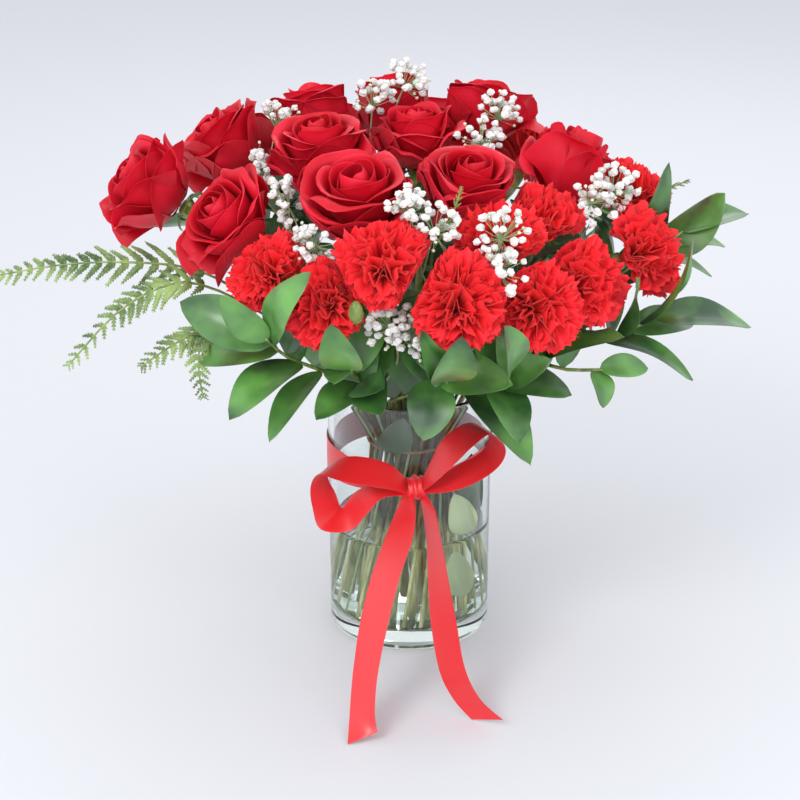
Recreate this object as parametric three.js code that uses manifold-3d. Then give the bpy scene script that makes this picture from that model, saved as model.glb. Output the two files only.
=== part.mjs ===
// Red roses and red carnations with ruscus, fern and baby's breath, tied in a bunch and standing
// in water in a clear glass cylinder vase, with a satin ribbon tied round the vase in a bow.
// Millimetres, +Z up, -Y towards the viewer, origin at the centre of the vase's foot.
import * as THREE from 'three';
import { mergeVertices } from 'three/addons/utils/BufferGeometryUtils.js';
import Module from 'manifold-3d';

const wasm = await Module();
wasm.setup();

// Vase and water
const VASE_RADIUS = 62.5;
const VASE_HEIGHT = 200;
const GLASS_WALL = 4;
const GLASS_BASE = 14;
const GLASS_CORNER = 2;
const ROUND_SIDES = 24;
const WATER_LEVEL = 86;
const FIT_GAP = 0.3;

// Bunch of stems: the tie, and how the stems spread below and above it
const TIE_HEIGHT = 154;
const TIE_CORD = 1.3;
const PRESSED_LENGTH = 8;
const BUNCH_AT_TIE = 31;
const BUNCH_AT_FOOT = 51;
const BUNCH_AT_RIM = 58;
const BUNCH_TURN = THREE.MathUtils.degToRad(-35);
const FLOWER_SPREAD = 228;
const FOLIAGE_RING = 0.93;
const STEM_SIDES = 5;
const SPRIG_SIDES = 4;
const HOLE_SIDES = 4;
const ROSE_STEM = 2.7;
const CARNATION_STEM = 2.2;
const RUSCUS_STEM = 1.4;
const FERN_STEM = 1.2;
const SPRAY_STEM = 1.0;

// Petals, leaves and florets
const PETAL_THICKNESS = 1.3;
const LEAF_THICKNESS = 1.2;
const LEAF_ROWS = 3;
const BLOOM_GAP = 2.4;
const BLOOM_SUNK = 0.62;
const LEAF_CLEARANCE = 4.8;
const LEAF_END = 0.98;
const LEAF_FACING = 0.7;
const FROND_LEAN = 0.8;
const FLORET_RADIUS = 3.9;
const FLORET_STALK = 10.5;
const JOINT_RADIUS = 1.6;
const GOLDEN_ANGLE = 2.39996;

// Ribbon
const RIBBON_WIDTH = 25;
const RIBBON_THICKNESS = 0.8;
const BAND_HEIGHT = 144.5;

// Every bloom: centre, way that it faces, radius, and for roses how far it is open and, where a bud
// is still long, how tall it is for its width
const ROSES = [
  { name: 'rose_far_left', at: [-190, 8, 348], faces: [-0.8, -0.2, 0.55], radius: 43, open: 0.35 },
  { name: 'rose_upper_left', at: [-140, 52, 368], faces: [-0.6, -0.1, 0.8], radius: 41, open: 0.45 },
  { name: 'rose_lower_left', at: [-128, -58, 344], faces: [-0.6, -0.45, 0.65], radius: 40, open: 0.6 },
  { name: 'rose_left_back', at: [-73, 96, 384], faces: [-0.15, 0.35, 0.92], radius: 39, open: 0.6 },
  { name: 'rose_left_centre', at: [-66, 5, 380], faces: [-0.15, -0.15, 0.97], radius: 42, open: 0.7 },
  { name: 'rose_front_centre', at: [-37, -70, 366], faces: [-0.05, -0.35, 0.93], radius: 49, open: 1 },
  { name: 'rose_top_back', at: [-14, 110, 388], faces: [-0.05, 0.35, 0.93], radius: 41, open: 0.6 },
  { name: 'rose_centre', at: [4, 42, 378], faces: [-0.1, -0.05, 0.99], radius: 38, open: 0.5 },
  { name: 'rose_right_back', at: [56, 98, 386], faces: [0.15, 0.35, 0.92], radius: 41, open: 0.6 },
  { name: 'rose_right_centre', at: [42, -42, 367], faces: [0.1, -0.3, 0.95], radius: 42, open: 0.9 },
  { name: 'rose_right', at: [116, 18, 354], faces: [0.3, 0.3, 0.9], radius: 37, open: 0.35, tall: 1.3 },
  { name: 'rose_back_left', at: [-132, 122, 352], faces: [-0.5, 0.45, 0.74], radius: 38, open: 0.6 },
  { name: 'rose_rear', at: [-58, 170, 344], faces: [-0.25, 0.75, 0.6], radius: 40, open: 0.8 },
  { name: 'rose_rear_right', at: [24, 176, 346], faces: [0.1, 0.75, 0.65], radius: 40, open: 0.6 },
];
const CARNATIONS = [
  { name: 'carnation_left', at: [-99, -97, 319], faces: [-0.35, -0.7, 0.6], radius: 28 },
  { name: 'carnation_lower_left', at: [-59, -127, 306], faces: [-0.35, -0.8, 0.45], radius: 30 },
  { name: 'carnation_front', at: [-19, -131, 336], faces: [-0.05, -0.6, 0.8], radius: 34 },
  { name: 'carnation_front_right', at: [31, -145, 315], faces: [0.05, -0.75, 0.65], radius: 34 },
  { name: 'carnation_centre_right', at: [62, -87, 341], faces: [0.1, -0.45, 0.88], radius: 32 },
  { name: 'carnation_upper_right', at: [92, -44, 343], faces: [0.25, -0.25, 0.93], radius: 32 },
  { name: 'carnation_lower_right', at: [87, -118, 302], faces: [0.3, -0.8, 0.5], radius: 32 },
  { name: 'carnation_right', at: [122, -76, 306], faces: [0.5, -0.6, 0.6], radius: 33 },
  { name: 'carnation_far_right', at: [170, -30, 313], faces: [0.75, -0.4, 0.5], radius: 35 },
  { name: 'carnation_high_right', at: [166, 26, 344], faces: [0.45, -0.1, 0.88], radius: 29 },
  { name: 'carnation_rear_right', at: [96, 146, 338], faces: [0.45, 0.65, 0.6], radius: 34 },
  { name: 'carnation_rear_far_right', at: [146, 92, 332], faces: [0.7, 0.4, 0.6], radius: 33 },
];

// Foliage and fillers in their order round the bunch, from the right towards the back. A route goes
// on from the rim. A ruscus leaf has its place on the route, its tip and its width.
const FOLIAGE = [
  {
    kind: 'ruscus', name: 'ruscus_high_right', route: [[118, 4, 252], [165, 8, 288], [205, 14, 314]],
    leaves: [
      { on: 0.62, tip: [200, 52, 300], width: 28 }, { on: 0.74, tip: [188, 4, 368], width: 20 },
      { on: 0.8, tip: [228, 22, 275], width: 26 }, { on: 0.86, tip: [230, 4, 345], width: 36 },
      { on: 0.92, tip: [238, 30, 296], width: 26 }, { on: 1, tip: [252, 22, 324], width: 34 },
    ],
  },
  { kind: 'spray', name: 'babys_breath_right', route: [[100, -8, 268], [122, -24, 318]],
    clusters: [[146, -22, 354], [127, -44, 352]], florets: 4 },
  { kind: 'fern', name: 'fern_right', leafFrom: 0.4, reach: 17, pairs: 9,
    route: [[112, 38, 262], [150, 50, 300], [184, 59, 326], [212, 64, 338]] },
  {
    kind: 'ruscus', name: 'ruscus_back_right', route: [[96, 70, 250], [138, 106, 278], [166, 128, 290]],
    leaves: [
      { on: 0.6, tip: [170, 80, 262], width: 32 }, { on: 0.7, tip: [120, 150, 262], width: 32 },
      { on: 0.85, tip: [208, 112, 290], width: 32 }, { on: 0.92, tip: [164, 182, 284], width: 32 },
      { on: 1, tip: [214, 160, 288], width: 34 },
    ],
  },
  { kind: 'spray', name: 'babys_breath_centre', route: [[42, 40, 225], [50, 34, 290], [46, 26, 336]],
    clusters: [[52, 17, 380], [66, 46, 392]], florets: 5 },
  {
    kind: 'ruscus', name: 'ruscus_rear', route: [[16, 88, 240], [18, 136, 266], [18, 160, 280]],
    leaves: [
      { on: 0.5, tip: [60, 128, 230], width: 32 }, { on: 0.6, tip: [-30, 140, 240], width: 32 },
      { on: 0.8, tip: [66, 182, 276], width: 32 }, { on: 0.9, tip: [-26, 204, 274], width: 32 },
      { on: 1, tip: [30, 226, 262], width: 34 },
    ],
  },
  { kind: 'spray', name: 'babys_breath_back', route: [[-24, 60, 290], [-32, 58, 340]],
    clusters: [[-28, 60, 398], [-4, 80, 408]], florets: 4 },
  { kind: 'fern', name: 'fern_rear', leafFrom: 0.4, reach: 24, pairs: 11,
    route: [[-36, 84, 250], [-66, 128, 284], [-96, 186, 296], [-120, 240, 280]] },
  {
    kind: 'ruscus', name: 'ruscus_back_left', route: [[-80, 66, 250], [-118, 104, 274], [-150, 128, 286]],
    leaves: [
      { on: 0.55, tip: [-92, 150, 258], width: 32 }, { on: 0.68, tip: [-166, 84, 262], width: 32 },
      { on: 0.82, tip: [-138, 178, 276], width: 32 }, { on: 0.9, tip: [-204, 104, 290], width: 32 },
      { on: 1, tip: [-196, 166, 274], width: 34 },
    ],
  },
  { kind: 'spray', name: 'babys_breath_left', route: [[-76, 36, 286], [-108, 18, 338]],
    clusters: [[-108, 2, 364], [-100, 52, 384]], florets: 4 },
  { kind: 'fern', name: 'fern_far_left', leafFrom: 0.36, reach: 25, pairs: 16,
    route: [[-110, -8, 262], [-154, -24, 295], [-205, -36, 305], [-252, -40, 304], [-298, -40, 296]] },
  { kind: 'fern', name: 'fern_left', leafFrom: 0.36, reach: 22, pairs: 13,
    route: [[-106, -28, 262], [-150, -50, 293], [-178, -62, 294], [-208, -76, 279], [-240, -92, 247]] },
  { kind: 'fern', name: 'fern_low_left', leafFrom: 0.46, reach: 19, pairs: 9,
    route: [[-98, -44, 252], [-136, -66, 268], [-162, -82, 262], [-188, -96, 248]] },
  {
    kind: 'ruscus', name: 'ruscus_left', route: [[-60, -72, 234], [-86, -98, 256], [-98, -122, 278]],
    leaves: [
      { on: 0.5, tip: [-98, -126, 203], width: 22 }, { on: 0.66, tip: [-124, -136, 224], width: 34 },
      { on: 0.96, tip: [-65, -153, 336], width: 26 }, { on: 0.86, tip: [-150, -84, 248], width: 30 },
      { on: 0.94, tip: [-160, -88, 293], width: 34 }, { on: 1, tip: [-128, -124, 310], width: 24 },
    ],
  },
  { kind: 'spray', name: 'babys_breath_lower_left', route: [[-44, -60, 260], [-62, -80, 306]],
    clusters: [[-64, -100, 338], [-86, -60, 356]], florets: 4 },
  {
    kind: 'ruscus', name: 'ruscus_front_left', route: [[-32, -76, 226], [-40, -104, 246], [-40, -134, 260]],
    leaves: [
      { on: 0.36, tip: [-66, -112, 214], width: 30 }, { on: 0.4, tip: [-20, -122, 222], width: 30 },
      { on: 0.5, tip: [-18, -128, 244], width: 32 }, { on: 0.56, tip: [-24, -108, 284], width: 30 },
      { on: 0.7, tip: [-52, -144, 254], width: 28 }, { on: 1, tip: [-52, -164, 304], width: 28 },
    ],
  },
  { kind: 'spray', name: 'babys_breath_front', route: [[-10, -74, 240], [-10, -112, 272]],
    clusters: [[-14, -134, 292], [2, -132, 286]], florets: 4 },
  {
    kind: 'ruscus', name: 'ruscus_front', route: [[14, -84, 228], [20, -106, 246], [24, -146, 256]],
    leaves: [
      { on: 0.56, tip: [9, -126, 204], width: 34 }, { on: 0.62, tip: [70, -126, 246], width: 32 },
      { on: 0.9, tip: [6, -176, 304], width: 28 }, { on: 1, tip: [32, -188, 304], width: 30 },
    ],
  },
  { kind: 'spray', name: 'babys_breath_front_centre', route: [[22, -62, 262], [8, -98, 316]],
    clusters: [[16, -116, 352], [-1, -108, 364]], florets: 5 },
  {
    kind: 'ruscus', name: 'ruscus_front_right', route: [[44, -72, 224], [66, -104, 242], [66, -136, 256]],
    leaves: [
      { on: 0.3, tip: [84, -120, 183], width: 38 }, { on: 0.57, tip: [75, -138, 208], width: 32 },
      { on: 0.62, tip: [112, -110, 232], width: 28 }, { on: 0.68, tip: [96, -124, 264], width: 26 },
      { on: 1, tip: [60, -174, 306], width: 28 },
    ],
  },
  { kind: 'fern', name: 'fern_centre', leafFrom: 0.74, reach: 6, pairs: 6,
    route: [[40, -50, 260], [14, -82, 318], [26, -92, 350], [34, -100, 378]] },
  {
    kind: 'ruscus', name: 'ruscus_right', route: [[82, -64, 238], [110, -92, 244], [134, -100, 247]],
    leaves: [
      { on: 0.5, tip: [148, -102, 272], width: 34 }, { on: 0.97, tip: [134, -114, 224], width: 22 },
      { on: 1, tip: [168, -84, 242], width: 20 },
    ],
  },
  { kind: 'spray', name: 'babys_breath_front_right', route: [[66, -56, 262], [50, -106, 306]],
    clusters: [[58, -136, 330], [60, -122, 350]], florets: 4 },
  {
    kind: 'ruscus', name: 'ruscus_far_right', route: [[104, -42, 240], [146, -56, 256], [176, -50, 268]],
    leaves: [
      { on: 0.72, tip: [204, -62, 224], width: 30 }, { on: 0.8, tip: [152, -92, 312], width: 26 },
      { on: 0.86, tip: [210, -16, 252], width: 26 }, { on: 0.93, tip: [196, -72, 334], width: 28 },
      { on: 1, tip: [250, -30, 253], width: 32 },
    ],
  },
];

// Ribbon stations, edge by edge: the back edge and the front edge of the ribbon
const LEFT_LOOP = [
  [[-1, -70, 147], [-2, -78, 141]], [[-13, -70, 160], [-16, -87, 149]], [[-31, -71, 167], [-33, -91, 154]],
  [[-47, -70, 167], [-52, -93, 159]], [[-60, -68, 159], [-66, -92, 163]], [[-60, -66, 147], [-72, -88, 151]],
  [[-55, -66, 136], [-71, -85, 133]], [[-51, -67, 126], [-62, -88, 119]], [[-46, -68, 131], [-44, -88, 116]],
  [[-38, -69, 140], [-31, -90, 131]], [[-26, -70, 145], [-20, -85, 141]], [[-1, -71, 145], [-1, -79, 140]],
];
const RIGHT_LOOP = [
  [[8, -70, 147], [9, -80, 144]], [[15, -70, 163], [19, -88, 156]], [[22, -69, 178], [34, -89, 172]],
  [[33, -66, 188], [45, -87, 183]], [[44, -62, 191], [57, -84, 191]], [[53, -60, 187], [66, -81, 184]],
  [[58, -59, 178], [69, -82, 176]], [[54, -62, 170], [65, -84, 167]], [[47, -65, 165], [55, -87, 159]],
  [[38, -67, 161], [40, -88, 151]], [[26, -69, 154], [25, -86, 146]], [[9, -70, 145], [9, -79, 142]],
];
const LEFT_TAIL = [
  [[-3, -70, 144], [3, -79, 140]], [[-9, -80, 131], [4, -94, 135]], [[-17, -94, 116], [2, -109, 121]],
  [[-28, -114, 92], [-8, -128, 97]], [[-36, -132, 64], [-16, -146, 70]], [[-41, -151, 34], [-23, -166, 42]],
  [[-43, -168, 12], [-25, -182, 21]], [[-44, -192, 1], [-23, -188, 8]],
];
const RIGHT_TAIL = [
  [[6, -70, 144], [12, -78, 140]], [[9, -81, 130], [18, -95, 136]], [[12, -93, 112], [22, -112, 122]],
  [[13, -107, 90], [27, -126, 98]], [[15, -122, 60], [33, -138, 68]], [[21, -140, 30], [39, -155, 40]],
  [[31, -150, 12], [50, -164, 20]], [[44, -160, 1], [66, -170, 7]],
];
const KNOT = { at: [4.5, -71.5, 143.5], size: [15, 19, 17] };

// Solids from triangles
const vector = ([x, y, z]) => new THREE.Vector3(x, y, z);

function closedGeometry(corners) {
  const positions = corners.flatMap((corner) => [corner.x, corner.y, corner.z]);
  const geometry = new THREE.BufferGeometry();
  geometry.setAttribute('position', new THREE.Float32BufferAttribute(positions, 3));
  return mergeVertices(geometry, 1e-4);
}

function toSolid(geometry) {
  const bare = geometry.clone();
  bare.deleteAttribute('normal');
  bare.deleteAttribute('uv');
  const merged = mergeVertices(bare, 1e-4);
  const vertProperties = new Float32Array(merged.attributes.position.array);
  const triVerts = new Uint32Array(merged.index.array);
  return new wasm.Manifold(new wasm.Mesh({ numProp: 3, vertProperties, triVerts }));
}

function toGeometry(solid) {
  const mesh = solid.getMesh();
  const geometry = new THREE.BufferGeometry();
  geometry.setAttribute('position', new THREE.BufferAttribute(mesh.vertProperties, 3));
  geometry.setIndex(new THREE.BufferAttribute(mesh.triVerts, 1));
  return geometry;
}

const fused = (geometries) => geometries.map(toSolid).reduce((whole, piece) => whole.add(piece));

// Skin over rings of points that run counterclockwise round the way they advance
function wall(lower, upper) {
  return lower.flatMap((corner, i) => {
    const next = (i + 1) % lower.length;
    return [corner, lower[next], upper[next], corner, upper[next], upper[i]];
  });
}

function cap(ring, facesBack) {
  const corners = [];
  for (let i = 1; i + 1 < ring.length; i += 1) {
    corners.push(ring[0], facesBack ? ring[i + 1] : ring[i], facesBack ? ring[i] : ring[i + 1]);
  }
  return corners;
}

function skinned(rings) {
  const walls = rings.slice(1).flatMap((ring, i) => wall(rings[i], ring));
  return closedGeometry([...cap(rings[0], true), ...walls, ...cap(rings.at(-1), false)]);
}

// Rings of a round rod along points, each a radius from them, turned as little as the bends allow
function rodRings(points, radii, sides) {
  let across = new THREE.Vector3(1, 0, 0);
  return points.map((point, i) => {
    const back = points[Math.max(i - 1, 0)];
    const ahead = points[Math.min(i + 1, points.length - 1)];
    const along = ahead.clone().sub(back).normalize();
    across = across.clone().addScaledVector(along, -across.dot(along)).normalize();
    const up = along.clone().cross(across);
    return Array.from({ length: sides }, (_, k) => {
      const angle = (k * 2 * Math.PI) / sides;
      return point.clone()
        .addScaledVector(across, radii[i] * Math.cos(angle))
        .addScaledVector(up, radii[i] * Math.sin(angle));
    });
  });
}

// Thin blade over a surface(across, along): full thickness inside its outline, and sharp edges.
// Its root is a point, and so is its tip where it is pointed.
function blade(surface, columns, rows, thickness, pointed = false) {
  const step = 0.02;
  const faces = [1, -1].map((side) => Array.from({ length: rows + 1 }, (_, row) => (
    Array.from({ length: columns + 1 }, (__, column) => {
      const across = (2 * column) / columns - 1;
      const along = row / rows;
      const point = surface(across, along);
      if (column === 0 || column === columns || row === 0 || row === rows) return point;
      const alongX = surface(across + step, along).sub(point);
      const alongY = surface(across, along + step).sub(point);
      return point.addScaledVector(alongX.cross(alongY).normalize(), (side * thickness) / 2);
    })
  )));
  const corners = [];
  for (let row = 0; row < rows; row += 1) {
    for (let column = 0; column < columns; column += 1) {
      faces.forEach((face, side) => {
        const a = face[row][column];
        const b = face[row][column + 1];
        const c = face[row + 1][column + 1];
        const d = face[row + 1][column];
        const whole = column < columns / 2 ? [[a, b, c], [a, c, d]] : [[a, b, d], [b, c, d]];
        const atRoot = row === 0 ? [[a, c, d]] : whole;
        const halves = pointed && row === rows - 1 ? [[a, b, d]] : atRoot;
        halves.forEach(([p, q, r]) => corners.push(...(side === 0 ? [p, q, r] : [p, r, q])));
      });
    }
  }
  return closedGeometry(corners);
}

// Blooms press on each other: each keeps to its own side of the plane between two of them
const BLOOMS = [
  ...ROSES.map((rose) => ({ ...rose, kind: 'rose' })),
  ...CARNATIONS.map((carnation) => ({ ...carnation, kind: 'carnation' })),
].map((bloom, order) => ({
  ...bloom, order, centre: vector(bloom.at), axis: vector(bloom.faces).normalize(),
}));

BLOOMS.forEach((bloom) => {
  bloom.base = bloom.centre.clone().addScaledVector(bloom.axis, -BLOOM_SUNK * bloom.radius);
  bloom.neighbours = BLOOMS.filter((other) => other !== bloom).map((other) => {
    const towards = other.centre.clone().sub(bloom.centre);
    const distance = towards.length();
    const limit = (distance ** 2 + bloom.radius ** 2 - other.radius ** 2) / (2 * distance) - BLOOM_GAP / 2;
    return { towards: towards.normalize(), limit };
  }).filter(({ limit }) => limit < 1.25 * bloom.radius);
});

function pressed(point, bloom) {
  const offset = point.sub(bloom.centre);
  for (let pass = 0; pass < 4; pass += 1) {
    bloom.neighbours.forEach(({ towards, limit }) => {
      const reach = offset.dot(towards);
      const free = 0.6 * limit;
      if (reach <= free) return;
      const soft = limit - free;
      const held = free + soft * (1 - Math.exp((free - reach) / soft));
      offset.addScaledVector(towards, held - reach);
    });
  }
  return offset.add(bloom.centre);
}

// Frame of a bloom: its axis up, turned on by the golden angle from bloom to bloom
function bloomPlace(bloom) {
  const turn = new THREE.Quaternion().setFromUnitVectors(new THREE.Vector3(0, 0, 1), bloom.axis);
  const spin = new THREE.Quaternion()
    .setFromAxisAngle(new THREE.Vector3(0, 0, 1), bloom.order * GOLDEN_ANGLE);
  turn.multiply(spin);
  const { radius, tall = 1 } = bloom;
  return (x, y, z) => {
    const point = new THREE.Vector3(x, y, z * tall).multiplyScalar(radius).applyQuaternion(turn);
    return pressed(point.add(bloom.base), bloom);
  };
}

// Rose: a wound bud in the middle, and whorls of petals that lap over each other round it.
// A whorl's points are radius and height, in parts of the bloom's radius, from root to edge.
function roseWhorls(open) {
  const mix = THREE.MathUtils.lerp;
  return [
    { petals: 3, half: 1.1, rows: 2, path: [[0.1, 0.3], [0.36, 0.75],
      [mix(0.33, 0.4, open), mix(1.42, 1.12, open)]] },
    { petals: 3, half: 1.15, rows: 2, path: [[0.08, 0.14], [mix(0.5, 0.55, open), mix(0.66, 0.5, open)],
      [mix(0.58, 0.84, open), mix(1.36, 0.94, open)]] },
    { petals: 5, half: 0.76, rows: 3, path: [[0.06, 0.05], [mix(0.58, 0.62, open), mix(0.4, 0.26, open)],
      [mix(0.82, 1.05, open), mix(0.92, 0.56, open)], [mix(0.7, 1.24, open), mix(1.26, 0.62, open)]] },
  ];
}

function alongPath(path, t) {
  const span = Math.min(Math.floor(t * (path.length - 1)), path.length - 2);
  const part = t * (path.length - 1) - span;
  return [0, 1].map((k) => THREE.MathUtils.lerp(path[span][k], path[span + 1][k], part));
}

function roseGeometry(bloom) {
  const place = bloomPlace(bloom);
  const bud = [[0.12, 0], [0.32, 0.4], [0.14, 1.08]];
  const sides = 6;
  const rings = bud.map(([radius, height]) => Array.from({ length: sides }, (_, k) => {
    const angle = (k * 2 * Math.PI) / sides;
    return place(radius * Math.cos(angle), radius * Math.sin(angle), height);
  }));
  const petals = roseWhorls(bloom.open).flatMap(({ petals: count, half, rows, path }, whorl) => (
    Array.from({ length: count }, (_, k) => {
      const middle = (k * 2 * Math.PI) / count + whorl * 0.6;
      return blade((across, along) => {
        const [radius, height] = alongPath(path, Math.min(along, 1));
        const width = half * (1.9 * along - along ** 2);
        const peak = along > 0.9 ? 0.07 * (1 - Math.abs(across)) : 0;
        const lapped = radius * (1 + 0.08 * across * Math.min(1, 3 * along)) + peak;
        const angle = middle + across * width;
        return place(lapped * Math.cos(angle), lapped * Math.sin(angle), height + 0.3 * peak);
      }, 2, rows, PETAL_THICKNESS);
    })
  ));
  return toGeometry(fused([skinned(rings), ...petals]));
}

// Carnation: three ruffled tiers of toothed petals, raised as one skin. Each level has its radius
// and height in parts of the bloom's radius, and how deep its teeth are cut.
const CARNATION_TEETH = 7;
const CARNATION_LEVELS = [
  { radius: 0.22, height: 0, teeth: 0 },
  { radius: 1.02, height: 0.38, teeth: 0.09 },
  { radius: 0.84, height: 0.52, teeth: -0.07 },
  { radius: 0.92, height: 0.92, teeth: -0.11 },
  { radius: 0.46, height: 0.84, teeth: 0.06 },
  { radius: 0.52, height: 1.12, teeth: 0.1 },
  { radius: 0.2, height: 0.98, teeth: -0.04 },
];

function carnationGeometry(bloom) {
  const place = bloomPlace(bloom);
  const steps = 2 * CARNATION_TEETH;
  const rings = CARNATION_LEVELS.map(({ radius, height, teeth }, level) => (
    Array.from({ length: steps }, (_, k) => {
      const tooth = (k % 2 === 0 ? 1 : -1) * teeth;
      const wave = 0.4 * Math.abs(teeth) * Math.sin(k * GOLDEN_ANGLE + level + bloom.order);
      const angle = (k * 2 * Math.PI) / steps;
      const out = radius + tooth + wave;
      return place(out * Math.cos(angle), out * Math.sin(angle), height - 0.6 * tooth + wave);
    })
  ));
  const crown = place(0, 0, 1.1);
  const top = rings.at(-1).flatMap((corner, k, ring) => [corner, ring[(k + 1) % steps], crown]);
  const walls = rings.slice(1).flatMap((ring, i) => wall(rings[i], ring));
  return closedGeometry([...cap(rings[0], true), ...walls, ...top]);
}

// Spread of the bunch at a height: every stem keeps its place in it, so no two meet
function bunchPlace(share, angle, height) {
  const foot = GLASS_BASE + FIT_GAP;
  const below = Math.min((height - foot) / (TIE_HEIGHT - foot), 1);
  const above = Math.max((height - TIE_HEIGHT) / (VASE_HEIGHT - TIE_HEIGHT), 0);
  const fromFoot = [BUNCH_AT_FOOT * Math.cos(BUNCH_TURN), BUNCH_AT_FOOT * Math.sin(BUNCH_TURN)];
  const spread = above * (BUNCH_AT_RIM - BUNCH_AT_TIE);
  const along = THREE.MathUtils.lerp(fromFoot[0], BUNCH_AT_TIE, below) + spread;
  const aside = THREE.MathUtils.lerp(fromFoot[1], 0, below);
  return new THREE.Vector3(
    share * (along * Math.cos(angle) - aside * Math.sin(angle)),
    share * (along * Math.sin(angle) + aside * Math.cos(angle)),
    height,
  );
}

// Flower stems: straight from the foot to the tie, pressed together there, then out to each bloom
function flowerStem(bloom) {
  const rose = bloom.kind === 'rose';
  const thick = rose ? ROSE_STEM : CARNATION_STEM;
  const share = Math.hypot(bloom.base.x, bloom.base.y) / FLOWER_SPREAD;
  const angle = Math.atan2(bloom.base.y, bloom.base.x);
  const inBunch = (height) => bunchPlace(share, angle, height);
  const level = (height) => {
    const upright = [inBunch(height), inBunch(height).setZ(height + 1)];
    return rodRings(upright, [thick, thick], STEM_SIDES)[0].map((corner) => corner.setZ(height));
  };
  const under = (distance) => bloom.base.clone().addScaledVector(bloom.axis, -distance);
  const calyx = rose
    ? [[24, thick], [9, 6], [5, 13], [FIT_GAP, 4.5]]
    : [[30, thick], [20, 4.8], [FIT_GAP, 6.2]];
  const points = [inBunch(VASE_HEIGHT + 6), ...calyx.map(([distance]) => under(distance))];
  const radii = [thick, ...calyx.map(([, radius]) => radius)];
  return {
    thick,
    lower: [level(GLASS_BASE + FIT_GAP), level(TIE_HEIGHT - PRESSED_LENGTH / 2)],
    upper: [level(TIE_HEIGHT + PRESSED_LENGTH / 2), ...rodRings(points, radii, STEM_SIDES)],
    foot: inBunch(GLASS_BASE + FIT_GAP),
    tie: inBunch(TIE_HEIGHT),
  };
}

function plateFace(outline, holes, facesDown) {
  const flat = (ring) => ring.map((corner) => new THREE.Vector2(corner.x, corner.y));
  const turned = holes.map((ring) => [...ring].reverse());
  const faces = THREE.ShapeUtils.triangulateShape(flat(outline), turned.map(flat));
  const corners = [...outline, ...turned.flat()];
  return faces.flatMap(([a, b, c]) => (
    facesDown ? [corners[a], corners[c], corners[b]] : [corners[a], corners[b], corners[c]]
  ));
}

function flowerStemsGeometry(stems) {
  const sides = 14;
  const outline = (rings) => {
    const reach = Math.max(...rings.flat().map((corner) => Math.hypot(corner.x, corner.y)));
    const radius = (reach + FIT_GAP) / Math.cos(Math.PI / sides);
    return Array.from({ length: sides }, (_, k) => {
      const angle = (k * 2 * Math.PI) / sides;
      return new THREE.Vector3(radius * Math.cos(angle), radius * Math.sin(angle), rings[0][0].z);
    });
  };
  const low = outline(stems.map(({ lower }) => lower[1]));
  const high = outline(stems.map(({ upper }) => upper[0]));
  return closedGeometry([
    ...stems.flatMap(({ lower }) => [...cap(lower[0], true), ...wall(lower[0], lower[1])]),
    ...plateFace(low, stems.map(({ lower }) => lower[1]), true),
    ...wall(low, high),
    ...plateFace(high, stems.map(({ upper }) => upper[0]), false),
    ...stems.flatMap(({ upper }) => upper.slice(1).flatMap((ring, i) => wall(upper[i], ring))),
    ...stems.flatMap(({ upper }) => cap(upper.at(-1), false)),
  ]);
}

// Foliage stems stand in a ring round the flower stems, in the order of the list
FOLIAGE.forEach((plant, order) => {
  const angle = (order * 2 * Math.PI) / FOLIAGE.length;
  const heights = [GLASS_BASE + FIT_GAP, TIE_HEIGHT, VASE_HEIGHT + 5];
  plant.order = order;
  plant.inVase = heights.map((height) => bunchPlace(FOLIAGE_RING, angle, height));
  plant.outside = plant.route.map(vector);
  plant.points = [...plant.inVase, ...plant.outside];
});

// Place on the part of a route from the rim on, 0 at the rim and 1 at its end
function onRoute(plant, t) {
  const points = plant.points.slice(2);
  const lengths = points.slice(1).map((point, i) => point.distanceTo(points[i]));
  let left = t * lengths.reduce((sum, length) => sum + length, 0);
  let span = 0;
  while (span < lengths.length - 1 && left > lengths[span]) {
    left -= lengths[span];
    span += 1;
  }
  return points[span].clone().lerp(points[span + 1], left / lengths[span]);
}

// A leaf that would meet a bloom lies on it instead
function besideBlooms(point) {
  BLOOMS.forEach(({ centre, radius }) => {
    const out = point.clone().sub(centre);
    const reach = radius + LEAF_CLEARANCE;
    if (out.length() < reach) point.copy(centre).addScaledVector(out.normalize(), reach);
  });
  return point;
}

// Ruscus leaf: a pointed oval, folded up a little along its rib and bowed down along its length.
// Its face looks up and out from the bunch.
function ruscusLeaf(root, tip, width) {
  const along = tip.clone().sub(root);
  const length = along.length();
  along.normalize();
  const up = tip.clone().setZ(0).normalize().setZ(LEAF_FACING);
  up.addScaledVector(along, -up.dot(along)).normalize();
  const side = along.clone().cross(up);
  return blade((across, t) => {
    const half = (width / 2) * Math.sin(Math.PI * t ** 0.85);
    const lift = (0.1 * length + 0.14 * width * Math.abs(across)) * Math.sin(Math.PI * t);
    const point = root.clone()
      .addScaledVector(along, length * t)
      .addScaledVector(side, across * half)
      .addScaledVector(up, lift);
    return t > 0.2 ? besideBlooms(point) : point;
  }, 2, LEAF_ROWS, LEAF_THICKNESS, true);
}

function ruscusGeometry(plant) {
  const radii = plant.points.map((_, i) => (i < 3 ? RUSCUS_STEM : RUSCUS_STEM - 0.15 * (i - 2)));
  const stem = skinned(rodRings(plant.points, radii, SPRIG_SIDES));
  const leaves = plant.leaves.map(({ on, tip, width }) => (
    ruscusLeaf(onRoute(plant, LEAF_END * on), vector(tip), width)
  ));
  return toGeometry(fused([stem, ...leaves]));
}

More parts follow.
